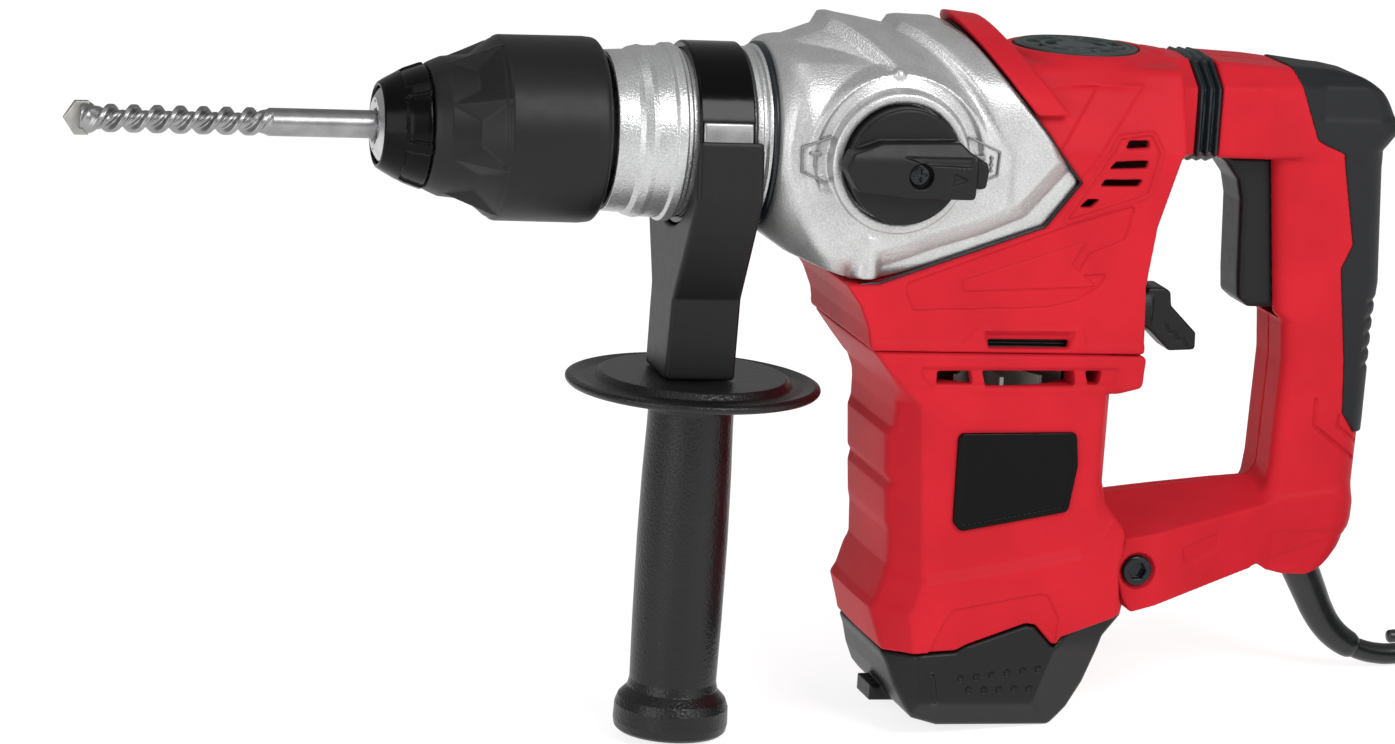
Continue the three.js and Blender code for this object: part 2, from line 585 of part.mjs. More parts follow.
function addSideHandle() {
  const front = SIDE_X - 13;
  const rear = SIDE_X + 11;
  const section = mirrored([[36.5, 3], [37, -16], [30, -32], [15.5, -60], [14.5, -88]]);
  const ring = round('x', front - 5, rear + 5, 33.4, {}, 0, 28);
  const boltHole = round('z', -100, -30, 4.4, { x: SIDE_X }, 0, 20);
  add('clamp_block', cut(lengthways(section, front, rear), ring, boltHole), 'black');

  const band = round('x', -116.5, -98.5, 33, {}, 30.3, 32);
  add('clamp_band', band, 'darkSteel');
  const bolt = join(
    round('z', -112, -38, 4, { x: SIDE_X }, 0, 16),
    round('z', -38.5, -33.6, 4.2, { x: SIDE_X }, 0, 6),
  );
  add('clamp_bolt', bolt, 'steel');

  const grip = [[-88.5, 0], [SIDE_END_Z, 0], [SIDE_END_Z, SIDE_END_R - 1.5], [SIDE_END_Z + 1.5, SIDE_END_R],
    [-216, SIDE_END_R], [-211, 20.6], [-204, 17.4], [-150, 18.4], [-103, 17.4], [-97, 20],
    [-94, SIDE_FLANGE_R - 0.8], [-92.5, SIDE_FLANGE_R], [-90, SIDE_FLANGE_R - 1], [-88.5, 17], [-88.5, 0]];
  const body = turned(grip, 'z', { x: SIDE_X }, 26);
  add('side_grip', cut(body, round('z', -114, -80, 4.4, { x: SIDE_X }, 0, 20)), 'black');
}

// ---- rear handle -------------------------------------------------------------------------------

function addRearHandle() {
  const upper = common(
    sideways([[ARM_FRONT_X, -1], [96, -1], [118, -1], [HANDLE_BACK_X, -8], [HANDLE_BACK_X, 20], [143, 27],
      [128, 31], [102, 34], [ARM_FRONT_X, 34]], -60, 60),
    upwards([[ARM_FRONT_X, 26], [106, 23], [120, 18], [151, 17], [151, -17], [120, -18], [106, -23],
      [ARM_FRONT_X, -26]], -20, 60),
    lengthways(mirrored([[16, 36], [26, 26], [26, 0], [22, -12]]), 60, 160),
  );
  const grip = upwards(chamfered(19, 17, 6, HANDLE_BACK_X - 19, 0), -150, 0);
  const lower = common(
    sideways([[49.6, -147.5], [52, -143.4], [51.5, -138], [47, -122.4], [97.5, -116.6], [112, -116],
      [HANDLE_BACK_X, -114], [HANDLE_BACK_X, -147], [144, -155], [137, -158.3], [113, -155.3],
      [56.2, -172], [52.4, -162.3], [49.8, -155]], -60, 60),
    upwards([[44, 33], [66, 33], [100, 22], [116, 17.5], [151, 17], [151, -17], [116, -17.5], [100, -22],
      [66, -33], [44, -33]], -200, -100),
  );
  const whole = join(upper, grip, lower);
  const switchRoom = box(111.5, 145, -12.5, 12.5, -62, -1.2);
  const triggerSlot = box(100, 125, -11.6, 11.6, -62, -1.2);
  const pivot = { x: HANDLE_PIVOT.x, z: HANDLE_PIVOT.z };
  const fork = join(round('y', -11.8, 11.8, 10, pivot, 0, 24), box(40, pivot.x + 2, -11.8, 11.8, -180, -120));
  const pinHole = round('y', -40, 40, HANDLE_PIVOT.r + FIT, pivot, 0, 24);
  const bushing = new THREE.CylinderGeometry(BOOT.r0 + FIT, BOOT.r0 + FIT, 16, 16);
  bushing.rotateX(Math.PI / 2);
  bushing.rotateY(LEAD_SLOPE - Math.PI / 2 - PITCH);
  bushing.translate(EXIT.x, 0, EXIT.z);
  const cordHole = solid(bushing);
  const hollow = cut(whole, switchRoom, triggerSlot, fork, pinHole, cordHole);
  add('handle_near', common(hollow, box(0, 200, -60, -FIT / 2, -250, 100)), 'red');
  add('handle_far', common(hollow, box(0, 200, FIT / 2, 60, -250, 100)), 'red');
  add('switch_body', box(127.5, 144, -11, 11, -55, -12), 'black');

  const inner = HANDLE_BACK_X + FIT;
  const back = sideways([[126, 34.5], [128.5, 31.4], [143.3, 27.4], [inner, 20.3], [inner, -96], [150.6, -93],
    [151.5, -60], [151.5, -10], [155, 2], [155.5, 9], [147, 29]], -14, 14);
  add('handle_rubber', back, 'rubber');

  const bolt = [[-35, 0], [-35, 8], [-33.4, 8], [-33.4, HANDLE_PIVOT.r], [35, HANDLE_PIVOT.r], [35, 0]];
  const socket = round('y', -40, -31, 3, pivot, 0, 6);
  add('pivot_bolt', cut(turned(bolt, 'y', pivot, 24), socket), 'darkSteel');
}

function addBellows() {
  const folds = 3;
  const from = COVER_REAR_X + FIT;
  const to = ARM_FRONT_X - FIT;
  const step = (to - from) / folds;
  let body = lengthways(mirrored([[13, 34], [24, 25], [24, 1]]), from, to);
  for (let i = 0; i < folds; i += 1) {
    const rib = mirrored([[15, 36], [27, 27], [27, -2]]);
    body = body.add(lengthways(rib, from + i * step, from + (i + 0.6) * step));
  }
  add('bellows', cut(body, lengthways(mirrored([[10, 28], [19, 22], [19, 5]]), from - 1, to + 1)), 'rubber');
}

// ---- mains lead --------------------------------------------------------------------------------

/** A round bar along part of a curve, its radius going from r0 to r1. */
function swept(curve, steps, r0, r1, sides) {
  const section = [];
  for (let i = 0; i < sides; i += 1) {
    const angle = (2 * Math.PI * (i + 0.5)) / sides;
    section.push([Math.cos(angle), Math.sin(angle)]);
  }
  const options = { steps, extrudePath: curve, bevelEnabled: false };
  const geometry = new THREE.ExtrudeGeometry(shapeOf(section), options);
  const place = geometry.attributes.position;
  const centres = curve.getSpacedPoints(steps);
  const closest = (point) => centres.reduce(
    (best, centre, k) => (centre.distanceTo(point) < centres[best].distanceTo(point) ? k : best),
    0,
  );
  const point = new THREE.Vector3();
  for (let i = 0; i < place.count; i += 1) {
    point.fromBufferAttribute(place, i);
    const nearest = closest(point);
    const radius = r0 + ((r1 - r0) * nearest) / steps;
    point.sub(centres[nearest]).multiplyScalar(radius).add(centres[nearest]);
    place.setXYZ(i, point.x, point.y, point.z);
  }
  return solid(geometry);
}

/** The stretch of a curve between two distances along it. */
function stretch(curve, from, to, count) {
  const length = curve.getLength();
  const points = [];
  for (let i = 0; i <= count; i += 1) {
    points.push(curve.getPointAt(Math.min(1, (from + ((to - from) * i) / count) / length)));
  }
  return new THREE.CatmullRomCurve3(points);
}

/** The tail that climbs half a turn from the top layer to the plug's rear. */
function tailRoute() {
  const inner = COIL.outerTurn - COIL.columns * COIL.pitch;
  const z0 = ROUTE.at(-1)[2] + (COIL.layers - 1) * COIL.pitch;
  const points = [];
  for (let i = 0; i <= 8; i += 1) {
    const share = i / 8;
    const angle = Math.PI * (0.5 - share);
    const climb = TAIL_RISE * (0.5 - 0.5 * Math.cos(Math.PI * share));
    const [dx, dy] = [inner * Math.cos(angle), inner * Math.sin(angle)];
    points.push(new THREE.Vector3(COIL.x + dx, COIL.y + dy, z0 + climb));
  }
  return points;
}

function addLead() {
  const whole = new THREE.CatmullRomCurve3(ROUTE.map(([x, y, z]) => new THREE.Vector3(x, y, z)));
  const reach = whole.getLength() - (COIL.x - LEAD_END_X);
  const cord = (line, steps) => swept(line, steps, CORD_D / 2, CORD_D / 2, 10);
  const boot = swept(stretch(whole, 0.4, BOOT.length, 10), 10, BOOT.r0, BOOT.r1, 16);
  add('strain_relief', boot, 'rubber', lead);
  add('mains_lead', cord(stretch(whole, BOOT.length + 1, reach, 14), 14), 'rubber', lead);

  const outer = COIL.outerTurn + CORD_D / 2;
  const inner = outer - COIL.columns * COIL.pitch - CORD_D;
  const top = 0.1 + (COIL.layers - 1) * COIL.pitch + CORD_D;
  add('lead_coil', round('z', 0.1, top, outer, { x: COIL.x, y: COIL.y }, inner, 28), 'rubber', lead);

  const tail = tailRoute();
  const end = tail.at(-1);
  const climb = new THREE.CatmullRomCurve3(tail);
  const start = climb.getLength() * 0.56; // clear of the coil's top from here on
  add('lead_tail', cord(stretch(climb, start, climb.getLength(), 8), 8), 'rubber', lead);

  const rear = end.x - PLUG.rear;
  const half = PLUG.height / 2;
  const tip = rear - PLUG.tail - PLUG.body;
  const plan = chamfered(PLUG.body / 2, 18, 8, tip + PLUG.body / 2, end.y);
  const body = upwards(plan, end.z - half, end.z + half);
  const sleeve = round('x', rear - PLUG.tail - 2, rear, 6.5, { y: end.y, z: end.z }, 0, 16);
  const pins = [-9.5, 9.5].map((y) => {
    const place = { y: end.y + y, z: end.z };
    return round('x', tip - 19, tip + 1, 2.4, place, 0, 12);
  });
  add('mains_plug', join(body, sleeve, ...pins), 'rubber', lead);
}

// ---- build -------------------------------------------------------------------------------------

addBit();
addChuck();
addSpindle();
addCrownGear();
addPistonGroup();
addGears();
addMotor();
addGearbox();
addCovers();
addMotorHousing();
addMotorCap();
addKnob();
addRearLever();
addTrigger();
addSideHandle();
addRearHandle();
addBellows();
addLead();

tool.rotation.y = PITCH;
const extent = new THREE.Box3().setFromObject(tool, true);
const middle = extent.getCenter(new THREE.Vector3());
tool.position.set(-middle.x, -middle.y, -extent.min.z);
const hammer = new THREE.Group();
hammer.add(tool, lead);

export default hammer;
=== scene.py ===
"""Rotary hammer: visible pieces, materials, studio light and camera.

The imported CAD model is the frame. Casings, covers, grips and soft parts are modelled here in
millimetres in the tool's own frame: X runs along the spindle towards the rear, z = 0 is the
spindle axis, x = 0 is the motor axis and the controls are on the -Y side. The TOOL matrix carries
that frame to the row frame in metres. Only the mains lead is laid out in the row frame itself.
"""

import json
import math

import bpy
import numpy as np
from mathutils import Matrix, Vector


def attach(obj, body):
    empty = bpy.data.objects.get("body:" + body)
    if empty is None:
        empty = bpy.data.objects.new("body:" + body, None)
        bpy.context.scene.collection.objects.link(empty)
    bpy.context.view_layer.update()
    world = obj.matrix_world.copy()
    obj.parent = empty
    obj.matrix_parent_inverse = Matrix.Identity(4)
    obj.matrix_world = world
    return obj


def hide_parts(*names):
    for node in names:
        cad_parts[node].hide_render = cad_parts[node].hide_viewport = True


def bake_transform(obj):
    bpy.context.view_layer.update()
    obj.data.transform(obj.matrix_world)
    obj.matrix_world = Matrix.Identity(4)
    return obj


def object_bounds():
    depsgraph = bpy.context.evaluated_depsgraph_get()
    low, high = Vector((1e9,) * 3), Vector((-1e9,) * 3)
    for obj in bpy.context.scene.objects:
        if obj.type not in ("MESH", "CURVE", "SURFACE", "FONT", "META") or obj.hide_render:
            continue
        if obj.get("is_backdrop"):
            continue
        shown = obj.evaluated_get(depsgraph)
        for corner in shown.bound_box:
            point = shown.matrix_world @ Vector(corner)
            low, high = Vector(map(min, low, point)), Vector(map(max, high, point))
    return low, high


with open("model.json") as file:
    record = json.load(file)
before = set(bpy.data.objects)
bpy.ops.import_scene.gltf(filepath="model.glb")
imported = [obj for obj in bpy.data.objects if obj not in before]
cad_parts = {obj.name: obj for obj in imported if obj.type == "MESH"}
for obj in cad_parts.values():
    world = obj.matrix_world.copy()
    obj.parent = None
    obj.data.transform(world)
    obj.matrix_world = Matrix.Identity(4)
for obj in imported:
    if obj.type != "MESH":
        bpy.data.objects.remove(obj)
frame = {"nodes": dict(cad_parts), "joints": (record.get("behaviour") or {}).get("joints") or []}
CAD_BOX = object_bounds()
JOINTS = {joint["name"]: joint for joint in frame["joints"]}
MM = 0.001


def tool_matrix():
    """From the tool's frame in millimetres to the row frame in metres."""
    spindle, motor = JOINTS["spindle_turn"], JOINTS["armature_turn"]
    along = Vector(spindle["axis"]).normalized()
    along = along if along.x > 0 else -along
    across = Vector((0, 1, 0))
    up = along.cross(across)
    on_motor = Vector(motor["pos_m"])
    origin = on_motor + up * (Vector(spindle["pos_m"]) - on_motor).dot(up)
    turn = Matrix((along, across, up)).transposed().to_4x4()
    return Matrix.Translation(origin) @ turn @ Matrix.Scale(MM, 4)


TOOL = tool_matrix()
ROW = Matrix.Scale(MM, 4)

# ---- driving dimensions, in millimetres in the tool's frame ----------------------------------

NOSE_X = -228.5
SLEEVE_FRONT_X = -211.4
SLEEVE_REAR_X = -149.5
SLEEVE_R = 33.3
BODY_HALF, MOTOR_HALF, BROW_HALF, CAP_HALF = 40, 39.6, 41.4, 41.2
VAULT_R = 46
FRONT_SLOPE = 0.92
STATOR_ROOM_R = 36.8
SEAM_Z = -71
CAP_FLAT_Z = -212
KNOB_X, KNOB_Z, KNOB_R, DIAL_WELL_R = -47, -2.4, 20.9, 21.7
SCREW_X, SCREW_Z = -43.5, -4.4
KNOB_FACE = -43
GREASE_X, GREASE_R, GREASE_TOP = 29, 22.7, 35.9
LEVER_Z = -61
SIDE_X = -106.5
PIVOT_X, PIVOT_Z = 58, -153.5
ARM_HALF, GRIP_HALF, SWITCH_HALF, FORK_HALF = 26.5, 17, 12.5, 12
CORD_EXIT_X, CORD_EXIT_Z, CORD_LEAN = 133.5, -158, 68 - 5.24
COVER_REAR_X = 61.2
NECK_X = 68.6
NECK = [(0, 34.6), (13, 33.8), (25.8, 25), (26.4, 0.5), (16, -3), (-16, -3), (-26.4, 0.5),
    (-25.8, 25), (-13, 33.8)]
ARM_FRONT_X = 78
CORD_R = 4
BIT_R, BIT_PITCH, BIT_TIP_X = 5.0, 16.3, -327
STRAP_R, STRAP_FRONT, STRAP_REAR = 33.0, -118.6, -98.2

# Where the casting meets the red cover, seen from the side: down the rear, then forward below.
SPLIT = [(-23, 46.5), (-4, 22), (10, 6), (22.2, -8.6), (9.8, -24.8), (-50.8, -46.4)]

# The front faces of the red cover and the motor housing, seen from the side, and their near corner.
FRONT = [(-63, -47), (-57, -55), (-53.6, -63), (-52.4, -70), (-50.6, -72.5), (-46, -78.5),
    (-39.5, -87), (-38.5, -95), (-38.8, -101.5), (-40.5, -104.5), (-39.4, -119.7), (-37.6, -122),
    (-39, -125.5), (-38, -137), (-36.8, -141), (-36.4, -153), (-40.5, -166), (-42.2, -169),
    (-36, -187.7)]
CORNER = [(-62.4, -47.3), (-52.8, -57.4), (-51.5, -60.4), (-56, -69.7), (-30.9, -91.2),
    (-25.8, -155), (-28.3, -165), (-30.3, -168.6), (-28, -180.4)]

# ---- outlines and fields ---------------------------------------------------------------------


def rounded(points, radius, closed=True, steps=3):
    """An outline with its corners rounded to about that radius."""
    pts = [np.array(p, float) for p in points]
    result = []
    for i, corner in enumerate(pts):
        if not closed and i in (0, len(pts) - 1):
            result.append(corner)
            continue
        before, after = pts[i - 1], pts[(i + 1) % len(pts)]
        a, b = before - corner, after - corner
        la, lb = np.linalg.norm(a), np.linalg.norm(b)
        half = 0.5 * math.acos(float(np.clip(a @ b / (la * lb), -1, 1)))
        reach = min(radius / max(math.tan(half), 1e-3), 0.45 * la, 0.45 * lb)
        start, end = corner + a / la * reach, corner + b / lb * reach
        for k in range(steps + 1):
            t = k / steps
            result.append((1 - t) ** 2 * start + 2 * t * (1 - t) * corner + t * t * end)
    return result


def shifted(line, by):
    """An open line moved square to itself."""
    moved = []
    for i, (x, z) in enumerate(line):
        (x0, z0), (x1, z1) = line[max(i - 1, 0)], line[min(i + 1, len(line) - 1)]
        length = math.hypot(x1 - x0, z1 - z0)
        moved.append((x - (z1 - z0) / length * by, z + (x1 - x0) / length * by))
    return moved


class Block:
    """Sample points `step` apart that fill a box in the tool's frame."""

    def __init__(self, low, high, step):
        self.low, self.step = np.array(low, float), step
        x, y, z = (np.arange(a, b + step, step, dtype=np.float32) for a, b in zip(low, high))
        self.x, self.y, self.z = x[:, None, None], y[None, :, None], z[None, None, :]
        self.side = np.abs(self.y)
        self.radius = np.hypot(self.y, self.z)

    def __iter__(self):
        return iter((self.x, self.y, self.z, self.side))


def to_line(points, u, v, closed=False):
    """Distance from each (u, v) to a line through the points."""
    pts = np.asarray(points, np.float32)
    ends = np.roll(pts, -1, axis=0) if closed else pts[1:]
    best = np.float32(1e9)
    for (ax, ay), (bx, by) in zip(pts, ends):
        ex, ey = bx - ax, by - ay
        wx, wy = u - ax, v - ay
        t = np.clip((wx * ex + wy * ey) / max(ex * ex + ey * ey, 1e-9), 0, 1)
        best = np.minimum(best, (wx - t * ex) ** 2 + (wy - t * ey) ** 2)
    return np.sqrt(best)


def outline(points, u, v):
    """Signed distance from each (u, v) to a closed outline, negative inside."""
    pts = np.asarray(points, np.float32)
    inside = np.zeros(np.broadcast(u, v).shape, bool)
    for (ax, ay), (bx, by) in zip(pts, np.roll(pts, -1, axis=0)):
        if ay == by:
            continue
        crosses = ((ay <= v) != (by <= v)) & (u < ax + (v - ay) * (bx - ax) / (by - ay))
        inside ^= crosses
    return np.where(inside, -1, 1).astype(np.float32) * to_line(points, u, v, closed=True)


def common(a, b, r=0.0):
    """Intersection of two fields, its edge rounded by about r."""
    if not r:
        return np.maximum(a, b)
    h = np.clip(0.5 + 0.5 * (a - b) / r, 0, 1)
    return b + (a - b) * h + r * h * (1 - h)


def join(a, b, r=0.0):
    """Union of two fields."""
    return -common(-a, -b, r)


def cut(a, b, r=0.0):
    """The first field less the second."""
    return common(a, -b, r)


def fillet(a, b, r):
    """Intersection of two fields that meet squarely, its edge rounded to radius r."""
    return np.minimum(np.maximum(a, b), -r) + np.hypot(np.maximum(a + r, 0), np.maximum(b + r, 0))


def level(u, stops):
    """A height read off a line through (u, height) stops."""
    stops = sorted(stops)
    return np.interp(u, [a for a, _ in stops], [b for _, b in stops]).astype(np.float32)


def slab(u, low, high):
    return np.maximum(low - u, u - high)


def window(u, low, high, soft=1.0):
    """1 between low and high, falling smoothly to 0 over `soft` outside them."""
    t = np.clip(1 - slab(u, low, high) / soft, 0, 1)
    return t * t * (3 - 2 * t)


def inside_of(shape, u, v, margin, soft):
    """1 well inside an outline, falling to 0 towards it; it starts to fall `margin` inside."""
    return window(outline(shape, u, v), -99, -margin, soft)


def ridge(distance, half, soft=0.8):
    return window(distance, -1, half, soft)


# ---- meshes ----------------------------------------------------------------------------------


EVEN_SHADING = ("WEIGHTED_NORMAL", {"weight": 60, "keep_sharp": False})


def corners_inside(inside):
    nx, ny, nz = (n - 1 for n in inside.shape)
    count = np.zeros((nx, ny, nz), np.uint8)
    for dx in (0, 1):
        for dy in (0, 1):
            for dz in (0, 1):
                count += inside[dx : nx + dx, dy : ny + dy, dz : nz + dz]
    return count


def net_points(field, cells):
    """The mean of the places where the surface crosses each cell's edges, in cells."""
    total, hits = np.zeros((len(cells), 3)), np.zeros(len(cells))
    corners = [(dx, dy, dz) for dx in (0, 1) for dy in (0, 1) for dz in (0, 1)]
    value = {c: field[cells[:, 0] + c[0], cells[:, 1] + c[1], cells[:, 2] + c[2]] for c in corners}
    for corner in corners:
        for axis in range(3):
            if corner[axis]:
                continue
            other = tuple(1 if k == axis else corner[k] for k in range(3))
            a, b = value[corner], value[other]
            hit = (a < 0) != (b < 0)
            share = np.where(hit, a / np.where(hit, a - b, 1), 0)
            point = np.repeat(np.array([corner], float), len(cells), 0)
            point[:, axis] += share
            total += point * hit[:, None]
            hits += hit
    return cells + total / hits[:, None]


def net_faces(inside, number):
    """One quad for each grid edge that the surface crosses, facing outwards."""
    faces = []
    last = np.array(inside.shape) - 1
    for axis in range(3):
        ahead, behind = [slice(None)] * 3, [slice(None)] * 3
        behind[axis], ahead[axis] = slice(0, -1), slice(1, None)
        edges = np.argwhere(inside[tuple(behind)] != inside[tuple(ahead)])
        i, j = [k for k in range(3) if k != axis]
        fine = ((edges[:, i] > 0) & (edges[:, j] > 0)
                & (edges[:, i] < last[i]) & (edges[:, j] < last[j]))
        edges = edges[fine]
        ring = []
        for di, dj in ((-1, -1), (0, -1), (0, 0), (-1, 0)):
            cell = edges.copy()
            cell[:, i] += di
            cell[:, j] += dj
            ring.append(number[cell[:, 0], cell[:, 1], cell[:, 2]])
        quads = np.stack(ring, 1)
        flip = inside[edges[:, 0], edges[:, 1], edges[:, 2]]
        flip = ~flip if axis == 1 else flip
        quads[~flip] = quads[~flip][:, ::-1]
        faces.append(quads)
    return np.concatenate(faces)


def mesh_from(name, points, quads):
    mesh = bpy.data.meshes.new(name)
    mesh.vertices.add(len(points))
    mesh.vertices.foreach_set("co", np.asarray(points, np.float32).ravel())
    mesh.loops.add(quads.size)
    mesh.loops.foreach_set("vertex_index", quads.astype(np.int32).ravel())
    mesh.polygons.add(len(quads))
    mesh.polygons.foreach_set("loop_start", np.arange(0, quads.size, quads.shape[1],
        dtype=np.int32))
    mesh.update(calc_edges=True)
    mesh.polygons.foreach_set("use_smooth", np.ones(len(mesh.polygons), bool))
    return mesh


def apply_modifiers(obj):
    bpy.context.view_layer.update()
    done = obj.evaluated_get(bpy.context.evaluated_depsgraph_get())
    mesh = bpy.data.meshes.new_from_object(done)
    old = obj.data
    obj.modifiers.clear()
    obj.data = mesh
    bpy.data.meshes.remove(old)


def place(name, mesh, material, body, nodes=(), slot=None, to_row=TOOL, modifiers=()):
    """The mesh as a piece that rides on a body, in place of the CAD nodes named."""
    mesh.transform(to_row)
    obj = bpy.data.objects.new(name, mesh)
    bpy.context.scene.collection.objects.link(obj)
    for kind, settings in modifiers:
        modifier = obj.modifiers.new(kind.title(), kind)
        for key, value in settings.items():
            setattr(modifier, key, value)
    if modifiers:
        apply_modifiers(obj)
    obj.data.materials.clear()
    obj.data.materials.append(material)
    if body:
        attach(obj, body)
    if nodes:
        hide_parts(*nodes)
    return obj


def sculpt(name, block, field, material, body, nodes=(), slot=None, keep=0.3, to_row=TOOL):
    """The surface where the field is zero, thinned out and with its flats kept flat."""
    field = np.broadcast_to(field, np.broadcast(block.x, block.y, block.z).shape)
    inside = field < 0
    count = corners_inside(inside)
    active = (count > 0) & (count < 8)
    cells = np.argwhere(active)
    number = np.full(active.shape, -1, np.int32)
    number[active] = np.arange(len(cells))
    points = block.low + block.step * net_points(field, cells)
    mesh = mesh_from(name, points, net_faces(inside, number))
    thin = ("DECIMATE", {"ratio": keep})
    return place(name, mesh, material, body, nodes, slot, to_row, [thin, EVEN_SHADING])


def tube(rings, loop):
    """A tube through rings of points: closed on itself, or with a fan of quads over each end."""
    n, sides = rings.shape[:2]
    row, col = np.meshgrid(np.arange(n if loop else n - 1), np.arange(sides), indexing="ij")
    ahead, turn = (row + 1) % n * sides, (col + 1) % sides
    row = row * sides
    quads = np.stack([row + col, ahead + col, ahead + turn, row + turn], -1).reshape(-1, 4)
    points = rings.reshape(-1, 3)
    if not loop:
        for end in (0, n - 1):
            hub = len(points)
            points = np.vstack([points, rings[end].mean(0)])
            k = end * sides + np.arange(0, sides, 2)
            last = end * sides + (np.arange(0, sides, 2) + 2) % sides
            fan = np.stack([np.full(len(k), hub), k, k + 1, last], 1)
            quads = np.vstack([quads, fan[:, ::-1] if end else fan])
    return points, quads


def lathe(name, profile, axis, centre, material, body, nodes=(), slot=None, sides=120):
    """A closed profile of (along, radius) turned about an axis through the centre."""
    profile = np.array(profile, float)
    angles = np.arange(sides) * 2 * math.pi / sides
    along = np.repeat(profile[:, :1], sides, 1)
    a, b = (np.outer(profile[:, 1], turn(angles)) for turn in (np.cos, np.sin))
    order = {"x": (along, a, b), "y": (b, along, a), "z": (a, b, along)}[axis]
    points, quads = tube(np.stack(order, -1) + np.array(centre, float), True)
    area = np.sum(profile[:, 0] * np.roll(profile[:, 1], -1) - np.roll(profile[:, 0],
        -1) * profile[:, 1])
    mesh = mesh_from(name, points, quads[:, ::-1] if area > 0 else quads)
    return place(name, mesh, material, body, nodes, slot, TOOL, [EVEN_SHADING])


def sweep(name, centres, radii, material, body, nodes=(), slot=None, sides=24):
    """A round tube with closed ends along points in the row frame, in millimetres."""
    tangents = np.gradient(centres, axis=0)
    tangents /= np.linalg.norm(tangents, axis=1)[:, None]
    side = np.cross(tangents, (0.0, 0.0, 1.0))
    side[np.linalg.norm(side, axis=1) < 1e-3] = (0.0, 1.0, 0.0)
    side /= np.linalg.norm(side, axis=1)[:, None]
    up = np.cross(side, tangents)
    angles = np.arange(sides)[:, None] * 2 * math.pi / sides
    rings = [c + r * (np.cos(angles) * s + np.sin(angles) * u)
             for c, s, u, r in zip(centres, side, up, radii)]
    points, quads = tube(np.array(rings), False)
    quads = np.roll(quads[:, ::-1], 1, axis=1)
    return place(name, mesh_from(name, points, quads), material, body, nodes, slot, ROW)


# ---- materials -------------------------------------------------------------------------------


class Nodes:
    """A procedural material built from its Principled shader outwards."""

    def __init__(self, name, roughness=0.5, metallic=0.0, **constants):
        self.material = bpy.data.materials.new(name)
        self.material.use_nodes = True
        self.tree = self.material.node_tree
        self.shader = self.tree.nodes["Principled BSDF"]
        self.shader.inputs["Roughness"].default_value = roughness
        self.shader.inputs["Metallic"].default_value = metallic
        for key, value in constants.items():
            self.shader.inputs[key.replace("_", " ")].default_value = value
        self.at = self.add("ShaderNodeTexCoord").outputs["Object"]

    def add(self, kind, settings=None, **inputs):
        node = self.tree.nodes.new(kind)
        for key, value in (settings or {}).items():
            setattr(node, key, value)
        for key, value in inputs.items():
            socket = node.inputs[key.replace("_", " ")]
            if isinstance(value, bpy.types.NodeSocket):
                self.tree.links.new(value, socket)
            else:
                socket.default_value = value
        return node

    def noise(self, size, detail=3.0, at=None):
        """Noise whose blobs are about `size` metres across."""
        return self.add("ShaderNodeTexNoise", Vector=at or self.at, Scale=1 / size,
            Detail=detail).outputs["Fac"]

    def cells(self, size):
        node = self.add("ShaderNodeTexVoronoi", Vector=self.at, Scale=1 / size)
        return node.outputs["Distance"]

    def ramp(self, value, stops, rgb=False):
        """The value sent through a ramp of (place, level) or (place, colour)."""
        node = self.add("ShaderNodeValToRGB", Fac=value)
        elements = node.color_ramp.elements
        while len(elements) < len(stops):
            elements.new(0.5)
        for element, (at, level) in zip(elements, stops):
            element.position = at
            element.color = (*level, 1) if rgb else (level, level, level, 1)
        return node.outputs["Color"]

    def math(self, operation, a, b=0.0):
        node = self.tree.nodes.new("ShaderNodeMath")
        node.operation = operation
        for socket, value in zip(node.inputs, (a, b)):
            if isinstance(value, bpy.types.NodeSocket):
                self.tree.links.new(value, socket)
            else:
                socket.default_value = value
        return node.outputs[0]

    def link(self, value, socket):
        self.tree.links.new(value, self.shader.inputs[socket])

    def bump(self, *layers):
        """Bumps laid one on another, each (height, depth in metres)."""
        normal = None
        for height, depth in layers:
            node = self.add("ShaderNodeBump", Height=height, Distance=depth)
            if normal is not None:
                self.tree.links.new(normal, node.inputs["Normal"])
            normal = node.outputs["Normal"]
        self.link(normal, "Normal")


def tones(colour, *levels):
    return [tuple(min(c * level, 1) for c in colour) for level in levels]


def moulded(name, colour, roughness, grain=0.0004, depth=0.00003, spread=0.05, gloss=0.3, ior=1.5):
    """Injection-moulded plastic: a fine spark-eroded grain over a faint mottle."""
    nodes = Nodes(name, roughness, Specular_IOR_Level=gloss, IOR=ior)
    mottle = nodes.noise(0.03)
    dark, light = tones(colour, 0.93, 1.05)
    nodes.link(nodes.ramp(mottle, [(0.35, dark), (0.65, light)], rgb=True), "Base Color")
    fine = nodes.noise(grain, 2)
    scuffs = nodes.noise(0.004, 5)
    rough = nodes.math("ADD", nodes.math("MULTIPLY", scuffs, 2 * spread), roughness - spread)
    nodes.link(rough, "Roughness")
    nodes.bump((fine, depth), (scuffs, 0.00002))
    return nodes.material


def cast(name, colour, roughness):
    """Silver-painted die casting: a sandy, glittering grain with darker and lighter flecks."""
    nodes = Nodes(name, roughness, 0.75)
    flecks = nodes.cells(0.0007)
    cloud = nodes.noise(0.012, 4)
    mixed = nodes.math("ADD", nodes.math("MULTIPLY", flecks, 0.5),
                       nodes.math("MULTIPLY", cloud, 0.6))
    dark, mid, light = tones(colour, 0.72, 1.0, 1.18)
    nodes.link(nodes.ramp(mixed, [(0.2, dark), (0.5, mid), (0.85, light)], rgb=True), "Base Color")
    sand = nodes.noise(0.0007, 3)
    nodes.link(nodes.math("ADD", nodes.math("MULTIPLY", sand, 0.25), roughness - 0.12), "Roughness")
    nodes.bump((sand, 0.00011), (flecks, 0.00006))
    return nodes.material


